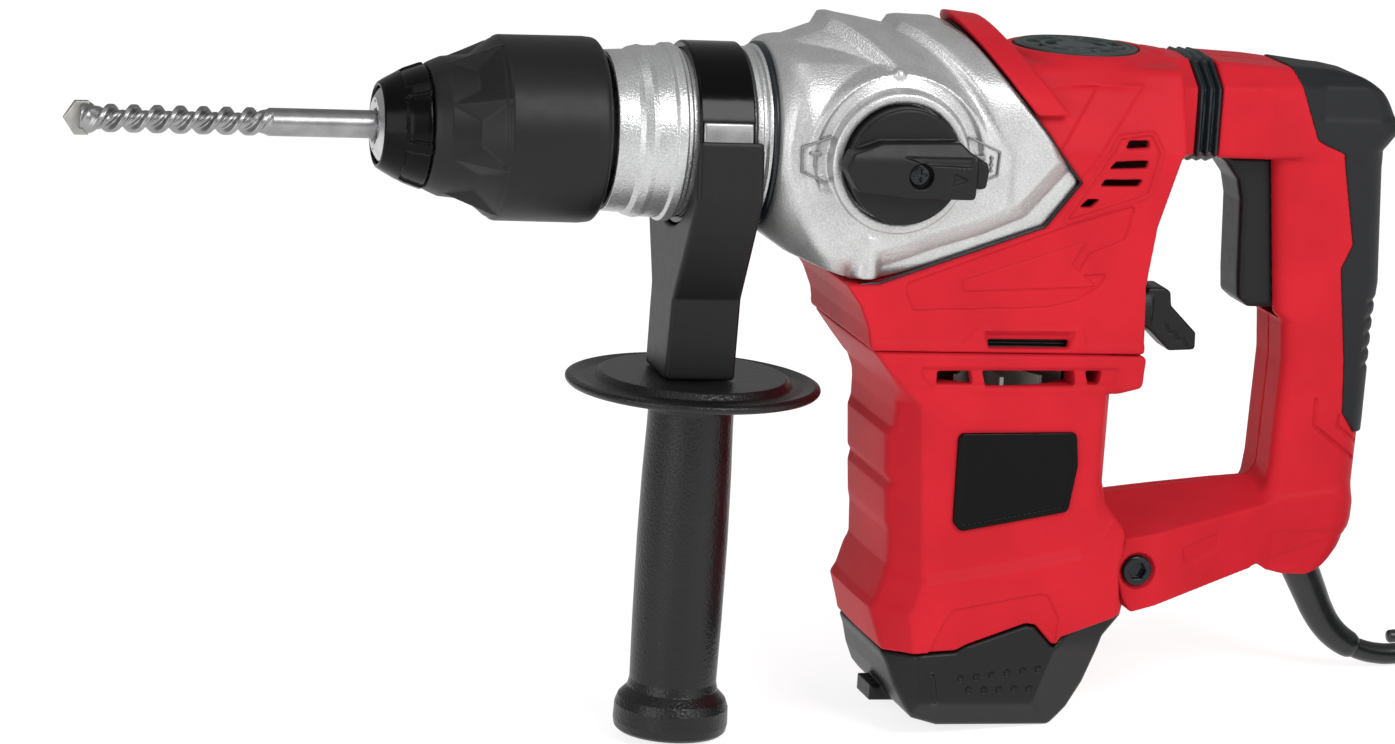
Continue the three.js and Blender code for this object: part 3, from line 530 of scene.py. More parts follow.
def turned_metal(name, colour, roughness, axis_ring=True):
    """Machined metal: fine lathe marks round the spindle axis, with light stains."""
    nodes = Nodes(name, roughness, 1.0)
    split = nodes.add("ShaderNodeSeparateXYZ", Vector=nodes.at)
    ring = nodes.add("ShaderNodeCombineXYZ", X=split.outputs["X"], Y=0.0, Z=0.0).outputs["Vector"]
    marks = nodes.noise(0.00022, 4, at=ring if axis_ring else None)
    stains = nodes.noise(0.006, 4)
    dark, light = tones(colour, 0.82, 1.1)
    nodes.link(nodes.ramp(stains, [(0.3, dark), (0.7, light)], rgb=True), "Base Color")
    nodes.link(nodes.math("ADD", nodes.math("MULTIPLY", marks, 0.25), roughness - 0.1), "Roughness")
    nodes.bump((marks, 0.00002))
    return nodes.material


def knurled(name, colour, roughness):
    """Rubbery moulding with a small diamond grain on its round faces."""
    nodes = Nodes(name, roughness, Specular_IOR_Level=0.4, IOR=1.45)
    pattern = nodes.cells(0.0011)
    mottle = nodes.noise(0.02)
    dark, light = tones(colour, 0.85, 1.15)
    nodes.link(nodes.ramp(mottle, [(0.35, dark), (0.65, light)], rgb=True), "Base Color")
    nodes.bump((pattern, 0.00014), (nodes.noise(0.0004, 2), 0.00002))
    return nodes.material


RED = moulded("red_shell", (0.50, 0.016, 0.026), 0.42, gloss=0.5, ior=1.12)
BLACK = moulded("black_nylon", (0.0065, 0.0065, 0.007), 0.42, grain=0.0005, depth=0.00004,
    gloss=0.25)
SLEEVE_BLACK = moulded("sleeve_black", (0.0055, 0.0055, 0.006), 0.44, grain=0.0005, gloss=0.28)
GLOSS = moulded("gloss_black", (0.001, 0.001, 0.001), 0.22, depth=0.000004, spread=0.04, gloss=0.12)
STRAP = moulded("strap_black", (0.001, 0.001, 0.001), 0.14, depth=0.000003, spread=0.03, gloss=0.15)
CAP_GREY = moulded("vent_cap_grey", (0.030, 0.040, 0.040), 0.5)
RUBBER = moulded("soft_rubber", (0.0095, 0.010, 0.0115), 0.55, grain=0.0006, depth=0.00006,
    gloss=0.25)
BELLOWS = moulded("bellows_rubber", (0.004, 0.008, 0.011), 0.34, grain=0.0006, depth=0.00002,
    gloss=0.4)
CORD_RUBBER = moulded("cord_rubber", (0.008, 0.009, 0.009), 0.30, grain=0.0008, depth=0.00002,
    gloss=0.5)
GRIP = knurled("grip_rubber", (0.0055, 0.0055, 0.006), 0.34)
CASTING = cast("silver_casting", (0.50, 0.505, 0.50), 0.36)
COLLAR_METAL = cast("collar_casting", (0.50, 0.505, 0.505), 0.30)
MARK_GREY = cast("sign_grey", (0.24, 0.24, 0.245), 0.45)
STEEL = turned_metal("bright_steel", (0.55, 0.55, 0.56), 0.25)
BIT_STEEL = turned_metal("bit_steel", (0.30, 0.30, 0.305), 0.30)
DARK_STEEL = turned_metal("dark_steel", (0.16, 0.16, 0.17), 0.34)
CARBIDE = turned_metal("carbide", (0.36, 0.35, 0.33), 0.42)
COPPER = turned_metal("copper", (0.72, 0.32, 0.16), 0.35, False)
BRASS = turned_metal("brass", (0.70, 0.52, 0.22), 0.34, False)
CARBON = moulded("carbon", (0.02, 0.02, 0.021), 0.6)
FAN_GREY = moulded("fan_plastic", (0.55, 0.54, 0.50), 0.5)
SOCKET_BLACK = moulded("socket_black", (0.006, 0.007, 0.010), 0.10, depth=0.000003, spread=0.03)

# ---- camera ----------------------------------------------------------------------------------

AZIMUTH, ELEVATION, ROLL = (math.radians(a) for a in (15.2, 11.9, 3.9))
DISTANCE = 1900
TARGET = Vector((-105, 0, -88))


def add_camera():
    """A long lens in front of the left side, a little above and slightly rolled."""
    sin_a, cos_a = math.sin(AZIMUTH), math.cos(AZIMUTH)
    back = Vector((-sin_a * math.cos(ELEVATION), -cos_a * math.cos(ELEVATION), math.sin(ELEVATION)))
    level = Vector((cos_a, -sin_a, 0))
    up = back.cross(level)
    right = math.cos(ROLL) * level + math.sin(ROLL) * up
    top = math.cos(ROLL) * up - math.sin(ROLL) * level
    data = bpy.data.cameras.new("camera")
    data.sensor_width, data.lens = 36, 135.33
    data.clip_start, data.clip_end = 0.05, 50
    camera = bpy.data.objects.new("camera", data)
    bpy.context.scene.collection.objects.link(camera)
    pose = Matrix((right, top, back)).transposed().to_4x4()
    turn = TOOL.to_3x3().normalized().to_4x4()
    camera.matrix_world = Matrix.Translation(TOOL @ (TARGET + back * DISTANCE)) @ turn @ pose
    bpy.context.scene.camera = camera


# ---- mains lead, in the row frame ------------------------------------------------------------

ROUTE = [(209.7, 5.25, 44.1), (211.5, 5.25, 39.6), (213.4, 5.25, 34.9), (215.3, 5.25, 30.2),
    (217.2, 5.25, 25.5), (220.6, 5.25, 19.2), (225.1, 5.25, 13.7), (230.7, 5.25, 9.4),
    (237.1, 5.25, 6.3), (244, 5.25, 4.6), (249.5, 5.25, 4.2), (258.5, 5.25, 4.2),
    (268.5, 5.25, 4.2), (278.5, 5.25, 4.2), (289.5, 5.25, 4.2), (300.5, 5.25, 4.2)]
COIL_X, COIL_Y, COIL_TURN, COIL_PITCH = 300.5, -54.75, 60, 8.1
COIL_COLUMNS, COIL_LAYERS = 3, 3
TAIL_RISE = 17.6
BOOT_LENGTH, BOOT_R0, BOOT_R1 = 44, 7.2, 5
PLUG_REAR, PLUG_TAIL, PLUG_LENGTH, PLUG_HALF_Y, PLUG_HALF_Z = 4, 22, 44, 18, 13


def smooth_line(points, per_gap=4):
    """Points on the smooth curve (Catmull-Rom) through the ones given."""
    p = np.array(points, float)
    p = np.vstack([2 * p[0] - p[1], p, 2 * p[-1] - p[-2]])
    line = []
    for a, b, c, d in zip(p[:-3], p[1:-2], p[2:-1], p[3:]):
        for t in np.arange(per_gap) / per_gap:
            line.append(0.5 * (2 * b + (c - a) * t + (2 * a - 5 * b + 4 * c - d) * t * t
                + (3 * b - a - 3 * c + d) * t ** 3))
    return np.array([*line, p[-2]])


def winding():
    """The coil from its first turn to its last, then the tail up to the plug."""
    turns = COIL_COLUMNS * COIL_LAYERS
    inner = COIL_TURN - COIL_COLUMNS * COIL_PITCH
    low = ROUTE[-1][2]
    points = []
    for k in range(1, turns * 32 + 1):
        t = k / 32
        layer, within = divmod(t, COIL_COLUMNS)
        radius = inner + within * COIL_PITCH if layer % 2 else COIL_TURN - within * COIL_PITCH
        if t == turns:
            radius, layer = inner, COIL_LAYERS - 1
        climb = layer
        if within > COIL_COLUMNS - 0.15 and layer < COIL_LAYERS - 1:
            share = (within - COIL_COLUMNS + 0.15) / 0.15
            climb += share * share * (3 - 2 * share)
        angle = math.pi / 2 - 2 * math.pi * t
        points.append((COIL_X + radius * math.cos(angle), COIL_Y + radius * math.sin(angle), low
            + climb * COIL_PITCH))
    top = low + (COIL_LAYERS - 1) * COIL_PITCH
    for k in range(1, 17):
        share = k / 16
        angle = math.pi * (0.5 - share)
        rise = TAIL_RISE * (0.5 - 0.5 * math.cos(math.pi * share))
        points.append((COIL_X + inner * math.cos(angle), COIL_Y + inner * math.sin(angle), top
            + rise))
    return np.array(points)


def length_of(line):
    return float(np.linalg.norm(np.diff(line, axis=0), axis=1).sum())


def add_plug(end):
    """A moulded two-pin mains plug lying on the coil, its tail towards the lead."""
    rear = end[0] - PLUG_REAR
    front = rear - PLUG_TAIL - PLUG_LENGTH
    block = Block((front - 21, end[1] - 21, end[2] - 16), (rear + 2, end[1] + 21, end[2] + 16), 0.6)
    x, y, z = block.x, block.y - end[1], block.z - end[2]
    plan = rounded([(front, -PLUG_HALF_Y + 3), (front + 6, -PLUG_HALF_Y),
        (front + 26, -PLUG_HALF_Y), (front + PLUG_LENGTH, -7), (front + PLUG_LENGTH, 7),
        (front + 26, PLUG_HALF_Y), (front + 6, PLUG_HALF_Y), (front, PLUG_HALF_Y - 3)], 5)
    body = common(outline(plan, x, y), np.abs(z) - PLUG_HALF_Z, 5)
    waist = window(x, front + 14, front + 30, 6) * 1.6
    body = common(body, np.hypot(y / 1.15, z) - (16.5 - waist), 3)
    grooves = sum(window(x, at, at + 1.6, 0.8) for at in (rear - 18, rear - 13, rear - 8))
    tail = common(np.hypot(y, z) - (6.5 - 0.08 * (x - rear + 22) * 0.5 - 0.8 * grooves), slab(x,
        rear - PLUG_TAIL - 4, rear), 1)
    field = join(body, tail, 3)
    for offset in (-9.5, 9.5):
        pin = common(np.hypot(y - offset, z) - 2.4, slab(x, front - 19, front + 2), 1.5)
        field = join(field, pin, 0.4)
    return sculpt("mains_plug_body", block, field, CORD_RUBBER, "rear_handle", ["mains_plug"],
        "soft_rubber", keep=0.28, to_row=ROW)


def add_lead():
    lead_in = smooth_line(ROUTE)
    coil = winding()
    line = np.vstack([lead_in, coil])
    curve = bpy.data.curves.new("mains_cord", "CURVE")
    curve.dimensions = "3D"
    curve.bevel_depth = CORD_R * MM
    curve.bevel_resolution = 5
    curve.use_fill_caps = True
    spline = curve.splines.new("POLY")
    spline.points.add(len(line) - 1)
    flat = np.hstack([line * MM, np.ones((len(line), 1))])
    spline.points.foreach_set("co", flat.ravel())
    spline.use_smooth = True
    curve.materials.append(CORD_RUBBER)
    cord = bpy.data.objects.new("mains_cord", curve)
    bpy.context.scene.collection.objects.link(cord)
    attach(cord, "rear_handle")
    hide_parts("mains_lead", "lead_coil", "lead_tail")

    steps = np.concatenate([[0], np.cumsum(np.linalg.norm(np.diff(lead_in, axis=0), axis=1))])
    along = np.linspace(0, BOOT_LENGTH, 40)
    centres = np.stack([np.interp(along, steps, lead_in[:, k]) for k in range(3)], 1)
    share = along / BOOT_LENGTH
    radii = BOOT_R0 + (BOOT_R1 - BOOT_R0) * share
    radii[-3:] -= (0.15, 0.5, 1.1)
    boot = sweep("strain_relief_boot", centres, radii, CORD_RUBBER, "rear_handle",
        ["strain_relief"], "soft_rubber")
    plug = add_plug(line[-1])
    tuple(line[0] * MM)
    length_of(line) * MM
    2 * CORD_R * MM


# ---- chuck and bit ---------------------------------------------------------------------------


def about_spindle(block):
    """Angle about the spindle, in degrees: 0 on the near side, rising towards the top."""
    return np.degrees(np.arctan2(block.z, -block.y))


def add_nose():
    """Steel nose ring with keyways, and the glossy cap with its six long recesses."""
    block = Block((NOSE_X - 2, -15, -15), (NOSE_X + 8, 15, 15), 0.35)
    profile = rounded([(NOSE_X - 0.7, 6.4), (NOSE_X - 0.7, 9.6), (NOSE_X + 1.4, 13.4),
        (NOSE_X + 6.5, 13.4), (NOSE_X + 6.5, 6.4)], 1.2)
    angle = about_spindle(block)
    keys = 1.7 * np.clip(np.cos(np.radians(4 * angle)), 0, 1) ** 3
    field = outline(profile, block.x, block.radius + keys * (block.radius < 9))
    sculpt("nose_ring", block, field, STEEL, "housing", ["chuck_front_ring"], "bright_steel",
        keep=0.4)

    block = Block((NOSE_X - 1, -25, -25), (SLEEVE_FRONT_X + 1, 25, 25), 0.45)
    profile = rounded([(NOSE_X + 0.2, 13.8), (NOSE_X + 0.4, 15.2), (NOSE_X + 2.6, 16.6),
        (-219, 20.4), (-213.4, 22.4), (-211.9, 22.6), (-211.9, 16.4), (-220, 16.4), (-222, 13.8)],
        0.8)
    angle = (about_spindle(block) + 13.1) % 60
    recess = window(block.x, -220.4, -200, 0.4) * window(angle, 6.5, 53.5, 1.2)
    field = outline(profile, block.x, block.radius + 0.9 * recess)
    sculpt("nose_cap", block, field, GLOSS, "housing", ["chuck_front_cap"], "gloss_black", keep=0.4)


def add_sleeve():
    """The pull-back sleeve, its front cone dimpled by eight pairs of slanted facets."""
    block = Block((SLEEVE_FRONT_X - 1, -35, -35), (SLEEVE_REAR_X + 1, 35, 35), 0.5)
    outside = rounded([(SLEEVE_FRONT_X, 22.2), (-209.6, 23.2), (-196.9, 28.6), (-190.6, 31.4),
        (-187.4, 32.9), (-186.6, 33.1), (-155, SLEEVE_R), (-151, 32.9), (SLEEVE_REAR_X, 31.0)], 2.2,
        closed=False)
    inside = [(SLEEVE_REAR_X, 29.8), (-186, 27.2), (-198.8, 23), (-199.6, 16.6),
        (SLEEVE_FRONT_X, 16.6)]
    angle = np.abs((about_spindle(block) - 27.3) % 45 - 22.5)
    x = block.x
    tent = 3.4 * np.clip(1 - np.abs(x + 195.6) / 10.2, 0, 1)
    depth = np.minimum(tent, 0.55 * np.radians(22.5 - angle) * 28.5)
    line = 0.35 * ridge(np.abs(x + 187.2), 0.3, 0.6)
    field = outline([*outside, *inside], x, block.radius + depth + line)
    sculpt("lock_sleeve", block, field, SLEEVE_BLACK, "chuck_sleeve", ["chuck_sleeve"],
        "black_plastic", keep=0.35)


def add_collar():
    """The stepped barrel collar and the dark ring behind it."""
    profile = rounded([(-147, 27.2), (-147, 28.8), (-139.4, 29.2), (-137.6, 30.2), (-134.6, 31.0),
        (-132.6, 30.6), (-126.6, 30.8), (-125.6, 31.9), (-122.6, 32.0), (-121.9, 30.9),
        (-120.6, 30.9), (-120.0, 29.9), (-97.2, 29.9), (-97.0, 31.2), (-95.0, 31.5), (-94.6, 30.7),
        (-93.2, 30.8), (-92.8, 32.3), (-91.2, 32.5), (-90.8, 30.4), (-89.2, 30.4), (-88.6, 32.0),
        (-88.4, 27.0)], 0.5, steps=2)
    lathe("barrel_collar_rings", profile, "x", (0, 0, 0), COLLAR_METAL, "housing",
        ["barrel_collar"], "die_cast", sides=160)
    seal = [(-91.2 + 1.5 * math.cos(a), 32 + 1.5 * math.sin(a))
            for a in np.arange(12) * math.pi / 6]
    lathe("collar_o_ring", [(x + 0.9, r) for x, r in seal], "x", (0, 0, 0), BELLOWS, "housing",
        slot="soft_rubber", sides=120)


def add_bit():
    """Right-hand flutes with a rolled land, a plain neck, and the wider head that holds the tip."""
    rows, sides = 640, 64
    xs = np.linspace(-333.6, -181, rows)
    angles = np.arange(sides) * 2 * math.pi / sides
    turn = 2 * math.pi * (xs - BIT_TIP_X) / BIT_PITCH
    fluted = np.clip((xs + 330) / 7, 0, 1) * np.clip((-266 - xs) / 7, 0, 1)
    phase = angles[None, :] + turn[:, None]
    wave = np.cos(2 * phase)
    land = 1 / (1 + np.exp(-9 * (wave - 0.45)))
    groove = BIT_R * (0.56 + 0.44 * land + 0.05 * np.cos(4 * phase))
    plain = np.full_like(groove, BIT_R)
    head_wide = BIT_R * (0.80 + 0.30 * np.exp(-((wave - 1) * 1.1) ** 2))
    head = np.clip((-326 - xs) / 4, 0, 1)[:, None]
    fluted = fluted[:, None]
    r = plain * (1 - fluted) + np.minimum(groove, BIT_R) * fluted
    r = r * (1 - head) + head_wide * head
    shrink = np.clip((xs + 334.4) / 0.8, 0, 1)[:, None]
    r = r * (0.9 + 0.1 * shrink)
    rings = np.stack([np.repeat(xs[:, None], sides, 1), r * np.cos(angles), r * np.sin(angles)], -1)
    points, quads = tube(rings, False)
    mesh = mesh_from("bit_body", points, quads[:, ::-1])
    place("bit_body", mesh, BIT_STEEL, "bit", ["drill_bit"], "bright_steel")

    block = Block((-341, -4, -7.5), (-326, 4, 7.5), 0.22)
    x, y, z, side = block
    tip = rounded([(-339.3, 0), (-335.2, 6), (-330.2, 6), (-330.2, -6), (-335.2, -6)], 0.4)
    field = common(outline(tip, x, z), side - 1.5 + 0.25 * np.clip(-336 - x, 0, 9), 0.5)
    sculpt("bit_tip", block, field, CARBIDE, "bit", ["carbide_tip"], "carbide", keep=0.5)


# ---- side handle -----------------------------------------------------------------------------


def add_side_handle():
    """Clamp block and neck, strap round the collar, guard flange and grip."""
    block = Block((-126, -44, -92), (-90, 44, 8), 0.55)
    x, y, z, _ = block
    slope = 0.09 * np.clip(-18 - z, 0, 90)
    profile = rounded([(34.4, 2.6), (37.4, -18.4), (31.2, -31), (16.5, -58), (15, -88), (-15, -88),
        (-16.5, -58), (-31.2, -31), (-37.4, -18.4), (-34.4, 2.6)], 1.5)
    ends = slab(x, SIDE_X - 13 - 0.25 * slope, SIDE_X + 11.6)
    field = common(outline(profile, y, z), ends, 2.0)
    waist = common(slab(block.side, 6, 99), slab(z, -84, -34), 3)
    pocket = common(common(-(x - (SIDE_X - 9.5)), waist, 1.5), block.side - 12.5, 1.5)
    field = cut(field, pocket, 1.0)
    field = cut(field, block.radius - 33.4, 0.8)
    field = cut(field, np.hypot(x - SIDE_X, y) - 4.6)
    sculpt("clamp_neck", block, field, BLACK, "side_handle", ["clamp_block"], "black_plastic")

    band = rounded([(STRAP_FRONT, 30.2), (STRAP_FRONT, 32.4), (STRAP_FRONT + 0.7, STRAP_R),
        (STRAP_REAR - 0.7, STRAP_R), (STRAP_REAR, 32.4), (STRAP_REAR, 30.2)], 0.5)
    lathe("clamp_strap", band, "x", (0, 0, 0), STRAP, "side_handle", ["clamp_band"], "dark_steel",
        sides=160)

    block = Block((-119, -35, -1), (-97, 1, 10), 0.4)
    shell = common(np.abs(block.radius - 32) - 1.6, slab(block.x, -117.4, -99.2), 0.6)
    tongue = common(shell, common(slab(block.z, 1.1, 9), block.y), 0.6)
    sculpt("strap_tongue", block, tongue, BIT_STEEL, "side_handle", slot="bright_steel", keep=0.5)

    flange = [(-88.3, 4.6), (-88.3, 34.2), (-90.9, 36), (-91.3, 40), (-90.2, 44.4), (-90.9, 46.4),
        (-92.3, 46.6), (-93.6, 45.4), (-94.6, 36), (-95.8, 24), (-98, 17.2), (-101.5, 15.6),
        (-108, 15.7), (-126, 16.3), (-150, 16.6), (-180, 16.4), (-203, 16.0), (-206.2, 16.7),
        (-209.4, 19.8), (-212.5, 20.9), (-218.5, 21.1), (-221.2, 20.6), (-222.4, 19.2), (-222.4, 6),
        (-221.4, 5), (-221.4, 0.01), (-114, 0.01), (-114, 4.6)]
    lathe("side_grip_body", rounded(flange, 1.4, steps=3), "z", (SIDE_X, 0, 0), GRIP, "side_grip",
        ["side_grip"], "black_plastic", sides=144)


# ---- gearbox and covers ----------------------------------------------------------------------


def front_face(block, sag=0.0):
    """The front of the red casings, its middle a little ahead of its sides."""
    face = level(block.z, [(z, x) for x, z in FRONT])
    return FRONT_SLOPE * (face + sag * (block.side / 30) ** 2 - block.x)


def knob_distance(x, z):
    return np.hypot(x - KNOB_X, z - KNOB_Z)


HAMMER_MARK = [(-2.2, 2.6), (2.2, 2.6), (2.2, 0.9), (0.6, 0.9),
               (0.6, -3), (-0.6, -3), (-0.6, 0.9), (-2.2, 1.5)]


def add_gearbox():
    """The hollow casting: vaulted roof with slanted bands, gritty lower bevel, dial boss."""
    block = Block((-92, -46, -49), (24, 48, 49), 0.6)
    x, y, z, side = block
    near = y < 0
    from_knob = knob_distance(x, z)
    shape = [*SPLIT, (-58.5, -46.5), (-81, -39), (-89.5, -33.5), (-89.5, 50), (-25, 50)]

    # Relief of the side faces: a wide gritty bevel below, a curved ridge in front, the halo.
    face = [(-90, 60), (-30, 60), (0.5, 22), (11.9, -1), (-1.4, -16.2), (-14.6, -21.8),
        (-32.3, -27.4), (-44.6, -32), (-62, -37), (-90, -40)]
    relief = -0.55 * np.clip(outline(face, x, z), 0, 7)
    front = smooth_line([(-81.8, 37), (-81.4, 29), (-83.4, 20.3), (-86.2, 10), (-86.6, -5),
        (-84.4, -14), (-81.7, -21.4), (-80.7, -29)])
    relief = relief - 0.9 * window(-x, 84, 120, 5) + 0.7 * ridge(to_line(front, x, z), 0.5, 1.2)
    halo = window(from_knob, 26.6, 30.2, 0.9) * np.clip((z - KNOB_Z + 12) / 8, 0, 1)
    relief_near = relief - 1.6 * halo
    sides = side - (BODY_HALF + np.where(near, relief_near, relief))

    # Relief of the roof: a low front, then two slanted bands with a groove between them.
    around = VAULT_R * np.arctan2(side, np.maximum(z, 1))
    band = x - 0.62 * np.clip(around - 10, 0, 99)
    height = level(band, [(-110, -12), (-87, -9.5), (-81, -9.3), (-71.5, -5.8), (-70, -5.4),
        (-67.3, -0.9), (-65.5, -0.6), (-62, -1.3), (-55, -2.4), (-44, -4.4), (-43, -4.4),
        (-40.9, -1.5), (-38.5, -1.1), (-26, -1.4), (-20, -3.4)])
    height = np.maximum(height, -4.6 - 5 * np.clip((34 - around) / 20, 0, 1))
    fade = np.clip((from_knob - 31) / 3, 0, 1)
    height = height * fade + 0.2 * (1 - fade)
    above = np.where(z > 0, block.radius, side)
    roof = above - (VAULT_R + height)
    under = 0.707 * (side - z) - 55.5
    cone = 0.69 * (block.radius - (33.6 + 1.05 * (x + 91)))
    field = common(common(sides, roof, 4.5), under, 3)
    field = common(field, cone, 4)
    field = common(field, outline(rounded(shape, 3), x, z), 0.9)

    lug = common(np.hypot(x + 55.5, side - 35.5) - 4.6, slab(z, -45.2, -30), 1.5)
    field = join(field, lug, 2.0)
    dimple = np.sqrt((x + 48) ** 2 + (y + 35.2) ** 2 + (z - 28.4) ** 2) - 2.3
    field = join(field, dimple, 0.7)
    boss = common(from_knob - 25.4, slab(y, KNOB_FACE, -30), 1.2)
    field = join(field, boss, 0.8)
    field = cut(field, common(from_knob - DIAL_WELL_R, y + 38.2), 0.5)
    room = common(common(side - 35, above - 35.6), slab(x, -82, 60))
    room = common(room, outline(shifted(SPLIT, -4) + [(-84, -42), (-84, 50)], x, z))
    room = common(room, cone + 4)
    room = common(room, 0.707 * (side - z) - 51)
    field = cut(field, join(room, common(block.radius - 26, x + 80)))
    sculpt("gearbox_casting", block, field, CASTING, "housing", ["gearbox_housing"], "die_cast")


def add_pictograms():
    """Raised frames beside the dial, with generic hammer and drill signs in them."""
    block = Block((-85, -41.5, -13), (-8, -38.5, 9), 0.25)
    x, y, z, _ = block
    signs = []
    for line in ([(-72.6, 6.2), (-83.2, 2.3), (-82.8, -6.7), (-73.4, -10)], [(-21.7, 7.2),
            (-9.9, 2.3), (-10.3, -6.2), (-20.6, -10.4)]):
        signs.append(to_line(line, x, z) - 0.42)
    for mark_x in (-78.2, -17.4):
        signs.append(outline([(mark_x + dx, -1.8 + dz) for dx, dz in HAMMER_MARK], x, z))
    signs.append(to_line([(-12.9, 0.6), (-12.9, -4.6)], x, z) - 0.5 - 0.25 * np.cos(2.6 * z))
    shape = signs[0]
    for sign in signs[1:]:
        shape = join(shape, sign)
    field = common(shape, slab(y, -40.75, -39), 0.3)
    sculpt("dial_pictograms", block, field, MARK_GREY, "housing", slot="die_cast", keep=0.5)


def cover_section(side, z, inset=0.0):
    half = [(0, 60), (21, 47), (30.2, 26.5), (36.4, 12), (40, 3), (40, -90)]
    other = [(-y, v) for y, v in half[::-1]]
    return outline(half + other, side, z) + inset


def add_cover():
    """The red cover: dome for the vent cap, neck for the bellows, slots and relief."""
    block = Block((-70, -44, -74), (70.5, 44, 49), 0.6)
    x, y, z, side = block
    lower_front = [(-68, -47.2), (-68, SEAM_Z)]
    shape = [*shifted(SPLIT, 0.5), *lower_front, (51.2, SEAM_Z), (49.8, -46), (52.4, -24),
        (59.4, 0.4), (COVER_REAR_X, 4), (COVER_REAR_X, 60), (-30, 60)]

    relief = 0.0
    recess = rounded([(-40.6, -45.6), (-41.2, -49), (-38.2, -56), (12, -54.3), (24, -51.3),
        (31.4, -46.6), (35.4, -40.9), (23.4, -41.8), (27.1, -34.4), (40.2, -28.8), (43.6, -15.6),
        (16, -24.4)], 1.6)
    relief = relief - 1.2 * inside_of(recess, x, z, 0.7, 0.7)
    island = rounded([(-20.4, -44.6), (-19.6, -49), (12, -47.4), (31.4, -46.4), (21, -38.4),
        (26.2, -29)], 1)
    relief = relief + 1.0 * inside_of(island, x, z, 0.6, 0.7)
    panel = rounded([(35.4, 8.4), (48, 10), (51.2, 3.6), (47.8, -11.8), (44.7, -13.4),
        (15.6, -23.2)], 1)
    border = outline(panel, x, z)
    relief = (relief + 0.8 * window(np.abs(border), -1, 0.35, 0.7)
              - 0.5 * window(border, -99, -1, 0.8))
    facet = outline([(28.5, 26.5), (45.5, 26.5), (19, -9.6), (12, 2)], x, z)
    relief = relief + 0.8 * window(facet, -99, -0.4, 0.8)
    ledge = outline([(-60, -67.2), (-18.5, -67.2), (-13.2, -61.6), (26.9, -61.4), (28.6, -67.4),
        (60, -67.2), (60, -80), (-60, -80)], x, z)
    relief = relief + 0.8 * window(ledge, -99, -0.6, 0.9)
    tray = outline([(-11.4, -62.6), (24.6, -62.4), (22.6, -69.6), (-9.0, -69.8)], x, z)
    relief = relief - 3.0 * np.clip(-tray / 2.2, 0, 1)
    section = cover_section(side, z) - relief
    section = common(section, front_face(block), 1.4)

    roof = z - (32.2 - 0.012 * (x - 30))
    rim = np.hypot(x - GREASE_X, y)
    dome = common(z - 35.2, (rim - 26.2) * 0.75 + 0.55 * (z - 35), 1.6)
    body = common(common(section, roof, 3.5), outline(rounded(shape, 1.6), x, z), 1.6)
    body = join(body, common(dome, -(z - 26)), 3)
    neck = common(outline(NECK, y, z) + 0.2, slab(x, 40, NECK_X), 1.4)
    body = join(body, neck, 5)
    bead = common(np.hypot(x - 57.2, 0.72 * (y + 3)) - 4.2, slab(z, 28, 35.6), 1.6)
    body = join(body, bead, 2)

    flange_line = to_line(shifted(SPLIT[:4], 1.8), x, z)
    flange_top = np.where(z > 0, block.radius, side) - (47.2 - 0.10 * np.clip(x + 24, 0, 60))
    flange = common(common(flange_top, side - 41.0, 3), flange_line - 9.2, 1.2)
    flange = common(flange, -outline([*SPLIT, (-90, -46), (-90, 60), (-30, 60)], x, z) + 1.4, 0.8)
    flange = common(flange, 15.5 - z, 1.2)
    field = join(body, flange, 0.8)
    field = common(field, -(outline([*SPLIT, (-90, -46), (-90, 80), (-40, 80)], x, z) - 0.4))

    room = common(cover_section(side, z, 3.6), outline(shifted(SPLIT, 5.6) + [(-50, -47),
        (-50, -90), (48, -90), (48, -28), (57, 0), (57, 28.6), (-8, 28.6)], x, z))
    field = cut(field, common(room, z - 28.6))
    slots = [[(39.3, 7.0), (46.9, 7.2), (46.8, 4.7), (37.7, 4.1)], [(34.3, -0.4), (46.8, 0.3),
        (46.3, -2.6), (31.9, -3.3)], [(30.7, -7.0), (45.4, -6.7), (43.6, -9.3), (29.0, -9.6)],
        [(24.8, -14.3), (29.6, -14.2), (26.4, -17.3), (21.6, -17.4)], [(-8.6, -66.4), (22.4, -66.2),
        (21.8, -69.0), (-8.2, -69.2)]]
    for slot in slots:
        field = cut(field, common(outline(rounded(slot, 0.5), x, z), -(side - 30)), 0.5)
    field = cut(field, common(np.hypot(x - GREASE_X, y) - (GREASE_R + 0.5), -(z - 33.4)), 0.4)
    field = cut(field, common(np.hypot(y, z - LEVER_Z) - 7.6, -(x - 44)), 0.4)
    sculpt("upper_cover_shell", block, field, RED, "housing", ["upper_cover"], "red_plastic")


def add_slot_shade_sheet():
    """A slatted black sheet behind the slots at the foot of the cover: painted shade that keeps the
    slots dark.
    """
    block = Block((-14, -37, -71.5), (30, 37, -63), 0.4)
    x, z, side = block.x, block.z, block.side
    slats = 0.5 * np.cos(2 * math.pi * z / 2.2)
    field = common(common(slab(x, -12.5, 27.5), slab(z, -70.6, -64.2)), slab(side, 33.2,
        34.8 + slats), 0.4)
    # The black sheet is painted shade: it hides the parts inside so the slots stay dark.
    sculpt("foot_slot_shade_sheet", block, field, BLACK, "housing", slot="black_plastic", keep=0.5)


def add_gasket():
    """A thin black line between the casting and the cover."""
    block = Block((-62, -42, -50), (26, 42, 48), 0.4)
    x, y, z, side = block
    line = [*SPLIT, (-58, -46.9)]
    strip = common(outline([*shifted(line, -0.3), *reversed(shifted(line, 0.9))], x, z), z - 43.6)
    skin = common(np.where(z > 0, block.radius, side) - 43.4, side - 38.2, 2)
    inner = common(np.where(z > 0, block.radius, side) - 42, side - 36, 1)
    field = cut(common(strip, skin), inner)
    sculpt("seam_gasket", block, field, BELLOWS, "housing", ["gasket"], "soft_rubber")


